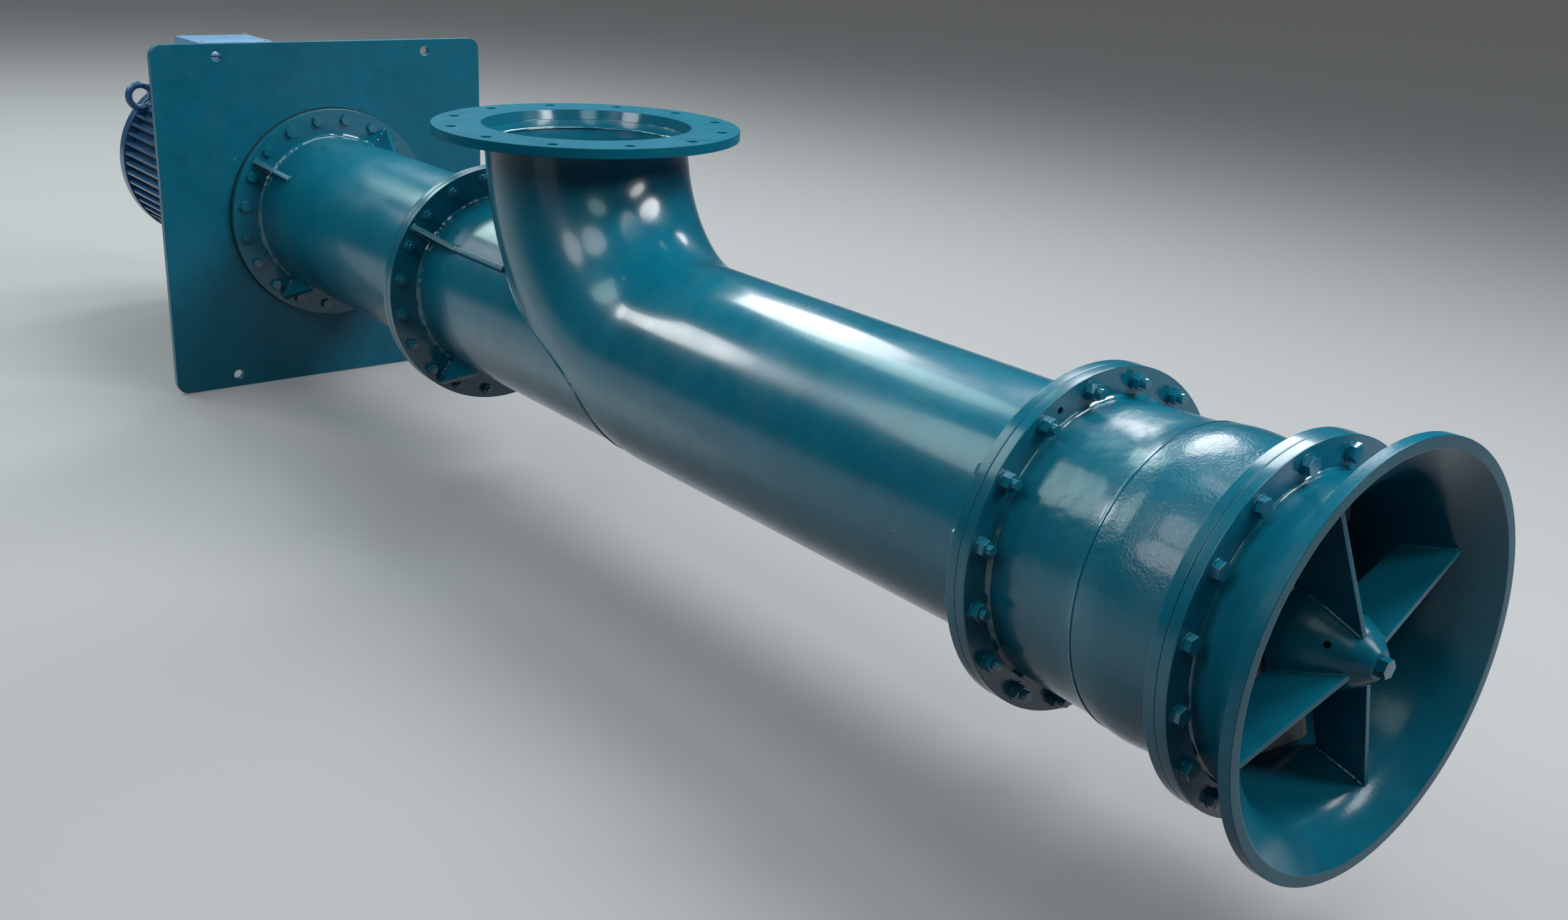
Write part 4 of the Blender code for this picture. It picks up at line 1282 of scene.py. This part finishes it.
# Motor
@dataclass
class Motor:
    """The vertical motor: finned frame, shields, fan cowl, terminal box and lifting eyes."""

    flange_r: float = 0.275
    flange_z: float = 0.2453
    flange_top: float = 0.2680
    flange_bore: float = 0.0385
    frame_low: float = 0.310
    frame_top: float = 0.952
    fin_r: float = 0.250
    root_r: float = 0.223
    low_fin_r: float = 0.230
    low_fin_arc: float = 29.0
    fins: int = 52
    skirt_line: Line = ((0.2560, 0.2682), (0.2440, 0.2712), (0.2300, 0.2800), (0.2200, 0.2940),
                        (0.2160, 0.3097))
    shield_r: float = 0.254
    shield_bore: float = 0.10
    shield_top: float = 1.000
    cowl_r: float = 0.234
    cowl_top: float = 1.095
    cowl_t: float = 0.0020
    cowl_line: Line = ((0.234, 1.0300), (0.2330, 1.0480), (0.2270, 1.0660), (0.2140, 1.0830),
                       (0.1980, 1.0915), (0.1800, 1.095))
    cowl_screw_z: float = 1.0140
    mouth_r: float = 0.142
    guard_r: float = 0.0220
    guard_step: float = 0.0145
    blade: Line = ((0.030, 1.010), (0.165, 1.010), (0.165, 1.058), (0.120, 1.072), (0.030, 1.072))
    eye_angles: tuple[float, ...] = (45.0, 225.0)
    eye_z: float = 0.900
    eye_r: float = 0.2885
    eye_ring: float = 0.0345
    eye_wire: float = 0.0103
    box_y: float = 0.110
    box_low: float = 0.560
    box_top: float = 0.850
    box_root: float = 0.205
    box_x: float = 0.352
    box_set: float = 0.006
    lid_x: float = 0.386
    lid_edge: float = 0.014
    lid_screw_y: float = 0.094
    gland_x: float = 0.300
    gland_heights: tuple[float, ...] = (0.640, 0.770)

    def build(self) -> None:
        """Make the housing from the flange up."""
        self.shields()
        self.frame()
        self.cowl()
        self.guard()
        self.fan()
        self.eyes()
        self.box()
        self.glands()

    def shields(self) -> None:
        """Turn the flange shield and the upper end shield with their screws."""
        bore = self.flange_bore
        bm = turned([(bore, self.flange_z), (self.flange_r, self.flange_z, 0.0020),
                     (self.flange_r, self.flange_top, 0.0020)] + smooth_line(self.skirt_line, 3)
                    + [(bore, self.skirt_line[-1][1])])
        finish_piece("motor_flange_fine", bm, MOTOR_ENAMEL, stands_for=("motor_flange_shield",))
        low, high, r, bore = self.frame_top + SLIP, self.shield_top, self.shield_r, self.shield_bore
        bm = turned([(bore, low), (r - 0.001, low, 0.0015), (r, low + 0.006, 0.004),
                     (r, high - 0.007, 0.004), (r - 0.004, high, 0.0030), (bore, high)])
        finish_piece("motor_end_fine", bm, MOTOR_ENAMEL, stands_for=("motor_end_shield",))
        screws = bolt_ring(4, 0.2425, high, True, 67.5, 0.010, washer=False, seed=71)
        finish_piece("motor_end_screws", screws, ZINC_STEEL)

    def frame(self) -> None:
        """Extrude the finned section; the fins are low under the terminal box."""
        outline: list[tuple[float, float]] = []
        for k in range(self.fins):
            centre = 360.0 * k / self.fins
            radial = across(centre)
            side = Vector((-radial.y, radial.x, 0.0))
            from_box = abs((centre + 90.0) % 360.0 - 180.0)
            tip = self.low_fin_r if from_box < self.low_fin_arc else self.fin_r
            half = [(0.0092, self.root_r), (0.0072, self.root_r + 0.0014),
                    (0.0060, self.root_r + 0.0045), (0.0046, tip - 0.0022),
                    (0.0038, tip - 0.0007), (0.0024, tip)]
            for sign, rows in ((-1, half), (1, half[::-1])):
                points = [radial * radius + side * (sign * width) for width, radius in rows]
                outline.extend((p.x, p.y) for p in points)
        bm = slab(outline, self.frame_low, self.frame_top)
        for angle in self.eye_angles:
            disc(0.0240, 0.0190, outward_frame(angle, self.root_r - 0.001, self.eye_z), bm, 32, 0.003)
        finish_piece("motor_frame_fine", bm, MOTOR_ENAMEL, stands_for=("motor_frame",))

    def cowl(self) -> None:
        """Press the fan cowl from sheet and set its screws."""
        low, top, wall = self.shield_top + 0.0005, self.cowl_top, self.cowl_t
        outer = smooth_line(self.cowl_line, 3)
        inner = [Corner(c.r - wall, c.z - wall) for c in outer[::-1]]
        lip = [(self.mouth_r, top, 0.0008), (self.mouth_r, top - wall)]
        bm = turned([(self.cowl_r, low)] + outer + lip + inner + [(self.cowl_r - wall, low)])
        finish_piece("fan_cowl_fine", bm, MOTOR_ENAMEL, stands_for=("motor_fan_cowl",))
        screws = bmesh.new()
        for k in range(4):
            place = outward_frame(22.5 + 90.0 * k, self.cowl_r, self.cowl_screw_z)
            disc(0.0062, 0.0038, place, screws, 20, 0.0016)
        finish_piece("fan_cowl_screws", screws, ZINC_STEEL)

    def guard(self) -> None:
        """Weld the wire guard in the cowl's mouth: rings, spokes and a small plate."""
        top = self.cowl_top
        bm = bmesh.new()
        for k in range(9):
            loop_wire(self.guard_r + self.guard_step * k, 0.0015, shift(0, 0, top - 0.0022), bm, 48, 8)
        for k in range(8):
            place = outward_frame(45.0 * k + 22.5, 0.018, top - 0.0048)
            disc(0.0016, self.mouth_r - 0.014, place, bm, 8, 0.0)
        disc(self.guard_r + 0.0010, 0.0020, shift(0, 0, top - 0.0034), bm, 32)
        finish_piece("fan_guard", bm, MOTOR_ENAMEL)

    def fan(self) -> None:
        """Make the fan that turns under the guard."""
        bm = collar(0.0360, 0.0, 1.0760, 1.0060, 0.003, 40)
        join(bm, collar(0.1650, 0.0, 1.0120, 1.0080, 0.001, 96))
        for k in range(8):
            blade = slab(self.blade, -0.0016, 0.0016, 0.0006)
            join(bm, blade, swung(45.0 * k + 90.0) @ STAND_UP)
        finish_piece("motor_fan", bm, FAN_PLASTIC, ROTOR)

    def eyes(self) -> None:
        """Forge the two lifting eyes, each with its collar on the frame's boss."""
        seat = self.root_r + 0.0178
        neck = self.eye_r - self.eye_ring - seat
        for k, angle in enumerate(self.eye_angles):
            bm = bmesh.new()
            centre = across(angle) * self.eye_r + Vector((0, 0, self.eye_z))
            loop_wire(self.eye_ring, self.eye_wire, Matrix.Translation(centre), bm, 56, 18)
            place = outward_frame(angle, seat, self.eye_z)
            disc(0.0215, 0.0075, place, bm, 32, 0.0022)
            disc(0.0185, neck + 0.004, place, bm, 28, 0.003, 0.0125)
            finish_piece("lifting_eye_%d" % (k + 1), bm, MOTOR_ENAMEL,
                         stands_for=("motor_eye_bolt_%d" % (k + 1),))

    def box(self) -> None:
        """Make the terminal box, its gasket, its lid and four lid screws."""
        inset, low, top = self.box_set, self.box_low, self.box_top
        side, x0, x1 = self.box_y - inset, self.box_root, self.box_x
        body = slab([(x0, -side), (x1, -side), (x1, side), (x0, side)], low + inset, top - inset, 0.0035)
        finish_piece("terminal_box_fine", body, BOX_ENAMEL, stands_for=("terminal_box",))
        back, front, half = x1 - 0.001, x1 + 0.002, side - 0.003
        gasket = slab([(back, -half), (front, -half), (front, half), (back, half)], low + 0.010,
                      top - 0.010)
        finish_piece("terminal_box_gasket", gasket, JOINT_SHEET)
        back, slope, face = x1 + 0.0010, x1 + self.lid_edge, self.lid_x
        lid = slab([(back, low), (slope, low), (face, low + 0.075), (face, top - 0.016), (slope, top),
                    (back, top)], -self.box_y, self.box_y, 0.0050)
        finish_piece("terminal_lid_fine", moved(lid, STAND_UP), BOX_ENAMEL,
                     stands_for=("terminal_box_lid",))
        screws = bmesh.new()
        for y in (-self.lid_screw_y, self.lid_screw_y):
            for z in (low + 0.086, top - 0.030):
                place = outward_frame(90.0, face - 0.0002, z) @ shift(y, 0, 0)
                disc(0.0058, 0.0034, place, screws, 20, 0.0014)
        finish_piece("terminal_lid_screws", screws, ZINC_STEEL)

    def glands(self) -> None:
        """Make the two cable glands, each closed by a plug."""
        for k, z in enumerate(self.gland_heights):
            foot = shift(self.gland_x, self.box_y - self.box_set - 0.0002, z)
            place = foot @ Matrix.Rotation(-math.pi / 2, 4, "X")
            bm = bmesh.new()
            hexagon(0.0360, 0.0110, place, bm, 0.0016)
            disc(0.0165, 0.0080, place @ shift(0, 0, 0.0105), bm, 40)
            hexagon(0.0340, 0.0130, place @ shift(0, 0, 0.0180), bm, 0.0016)
            disc(0.0165, 0.0090, place @ shift(0, 0, 0.0305), bm, 40, 0.0022, 0.0130)
            finish_piece("cable_gland_fine_%d" % (k + 1), bm, GLAND_BRASS,
                         stands_for=("cable_gland_%d" % (k + 1),))
            plug = bmesh.new()
            disc(0.0098, 0.0020, place @ shift(0, 0, 0.0392), plug, 32)
            finish_piece("gland_plug_%d" % (k + 1), plug, JOINT_SHEET)


# Solids that keep their shape
def dress_node(node: str, finish: Finish) -> None:
    """Give a solid that keeps its own shape its finish."""
    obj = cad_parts[node]
    obj.data.materials.clear()
    obj.data.materials.append(finish.material())
    LOG.info("solid %s: %s", node, finish.name)


def dress_plain_solids() -> None:
    """Give the solids whose own shape is right their finishes."""
    for node in ("diffuser", "shaft_tube"):
        dress_node(node, FLANGE_ENAMEL)
    for node in ("line_shaft", "motor_shaft"):
        dress_node(node, SHAFT_STEEL)
    dress_node("impeller", IMPELLER_IRON)


# Studio
@dataclass(frozen=True)
class Panel:
    """A soft elliptic light that hangs at one point, aims at another and lies along the shaft."""

    name: str
    at: tuple[float, float, float]
    aim: tuple[float, float, float]
    wide: float
    long: float
    power: float
    colour: str = "ffffff"

    def hang(self) -> None:
        """Add the light to the scene."""
        data = bpy.data.lights.new(self.name, "AREA")
        data.shape, data.size, data.size_y = "ELLIPSE", self.wide, self.long
        data.energy, data.color = self.power, linear(self.colour)[:3]
        obj = bpy.data.objects.new(self.name, data)
        bpy.context.scene.collection.objects.link(obj)
        back = (Vector(self.at) - Vector(self.aim)).normalized()
        side = Vector((0, 0, 1)).cross(back).normalized()
        turn = Matrix((side, back.cross(side), back)).transposed().to_4x4()
        obj.matrix_world = Matrix.Translation(self.at) @ turn


@dataclass
class Studio:
    """Camera, pale floor and soft lights."""

    floor_x: float = -0.4525
    lens: float = 36.731
    place: tuple[float, float, float] = (0.89329, -1.74536, -4.11724)
    right: tuple[float, float, float] = (0.045821, 0.783497, -0.619704)
    up: tuple[float, float, float] = (0.939767, 0.176545, 0.292694)
    roof_x: float = 3.6
    # Panels over the pump: y, z, width, watts and colour of each
    roof: tuple[tuple[float, float, float, float, str], ...] = (
        (2.3, -6.6, 2.3, 95.0, "ffffff"), (2.3, -3.7, 2.2, 130.0, "ffffff"),
        (2.6, -0.2, 2.8, 95.0, "ffffff"), (2.3, 2.5, 2.3, 78.0, "ffffff"),
        (2.3, 5.3, 2.3, 44.0, "ffffff"), (-2.5, -5.0, 1.8, 20.0, "d8f6ec"),
        (-2.6, -2.3, 1.8, 26.0, "ffffff"), (-2.4, 1.0, 2.7, 44.0, "def5ee"),
        (-2.5, 3.6, 1.8, 86.0, "ffffff"), (-2.5, 6.4, 1.8, 10.0, "ffffff"),
        (-0.2, 4.7, 2.0, 56.0, "dcf8f0"), (1.0, 1.1, 1.2, 20.0, "d4f5ea"))
    # The two fills light the side toward the floor, which no other panel reaches.
    others: tuple[Panel, ...] = (
        Panel("overhead_panel", (4.2, 0.2, -3.0), (0.0, 0.0, -3.0), 1.5, 3.0, 36.0),
        Panel("mouth_panel", (3.6, -5.2, -1.4), (0.2, 0.0, -1.4), 1.8, 2.0, 38.0),
        Panel("side_wall", (0.5, -6.5, -2.5), (0.0, 0.0, -2.5), 6.0, 3.0, 12.0, "dfe9f2"),
        Panel("far_fill", (-3.6, 4.6, 0.5), (0.0, 0.0, -1.0), 3.0, 3.5, 170.0, "f2f6f8"),
        Panel("motor_fill", (-2.1, -1.5, 2.4), (0.0, 0.0, 0.6), 1.6, 1.6, 18.0, "f2f6f8"))

    def build(self) -> None:
        """Set up everything that isn't the pump."""
        self.camera()
        self.floor()
        self.world()
        for y, z, wide, power, colour in self.roof:
            Panel("roof_panel", (self.roof_x, y, z), (0.0, 0.0, z), wide, 1.7, power, colour).hang()
        for panel in self.others:
            panel.hang()
        settings = bpy.context.scene.view_settings
        settings.view_transform, settings.look = "Standard", "None"

    def camera(self) -> None:
        """Place the camera at the photograph's viewing angle."""
        data = bpy.data.cameras.new("camera")
        data.sensor_width, data.lens = 36.0, self.lens
        data.clip_start, data.clip_end = 0.02, 200.0
        cam = bpy.data.objects.new("camera", data)
        bpy.context.scene.collection.objects.link(cam)
        right, up = Vector(self.right), Vector(self.up)
        turn = Matrix((right, up, right.cross(up))).transposed().to_4x4()
        cam.matrix_world = Matrix.Translation(self.place) @ turn
        bpy.context.scene.camera = cam

    def floor(self) -> None:
        """Lay the pale floor that the pump rests on, seen from its upper side only."""
        bm = bmesh.new()
        place = shift(self.floor_x, 0, 0) @ Matrix.Rotation(math.pi / 2, 4, "Y")
        bmesh.ops.create_grid(bm, x_segments=1, y_segments=1, size=60.0, matrix=place)
        mesh = bpy.data.meshes.new("floor")
        bm.to_mesh(mesh)
        bm.free()
        mesh.materials.append(self._floor_paint())
        obj = bpy.data.objects.new("floor", mesh)
        bpy.context.scene.collection.objects.link(obj)
        obj.visible_diffuse = False
        obj.visible_shadow = False

    def _floor_paint(self) -> Material:
        """Make the floor's flat paint: even and pale, and clear from below."""
        mat = bpy.data.materials.new("pale_floor_paint")
        mat.use_nodes = True
        tree = mat.node_tree
        shader = tree.nodes["Principled BSDF"]
        shader.inputs["Base Color"].default_value = linear("999b9e")
        shader.inputs["Roughness"].default_value = 0.8
        shader.inputs["Emission Color"].default_value = linear("c4c7ca")
        shader.inputs["Emission Strength"].default_value = 0.16
        side = add_node(tree, "ShaderNodeNewGeometry").outputs["Backfacing"]
        clear = add_node(tree, "ShaderNodeBsdfTransparent").outputs[0]
        blend = add_node(tree, "ShaderNodeMixShader", i0=side, i1=shader.outputs[0], i2=clear)
        tree.links.new(blend.outputs[0], tree.nodes["Material Output"].inputs["Surface"])
        return mat

    def world(self) -> None:
        """Light the room a little from everywhere; the camera sees a paler wall."""
        world = bpy.data.worlds.new("studio")
        bpy.context.scene.world = world
        world.use_nodes = True
        tree = world.node_tree
        dim = tree.nodes["Background"]
        dim.inputs["Color"].default_value = linear("aab4bc")
        dim.inputs["Strength"].default_value = 0.06
        seen = add_node(tree, "ShaderNodeBackground", Color=linear("c4c7ca"), Strength=0.20).outputs[0]
        direct = add_node(tree, "ShaderNodeLightPath").outputs["Is Camera Ray"]
        blend = add_node(tree, "ShaderNodeMixShader", i0=direct, i1=dim.outputs[0], i2=seen)
        tree.links.new(blend.outputs[0], tree.nodes["World Output"].inputs["Surface"])


def main() -> None:
    """Build the studio and every part of the pump."""
    logging.basicConfig(level=logging.INFO, format="%(message)s")
    Studio().build()
    BasePlate().build()
    Column().build()
    Elbow().build()
    BowlAndBell().build()
    Stool().build()
    Motor().build()
    dress_plain_solids()


if __name__ == "__main__":
    main()
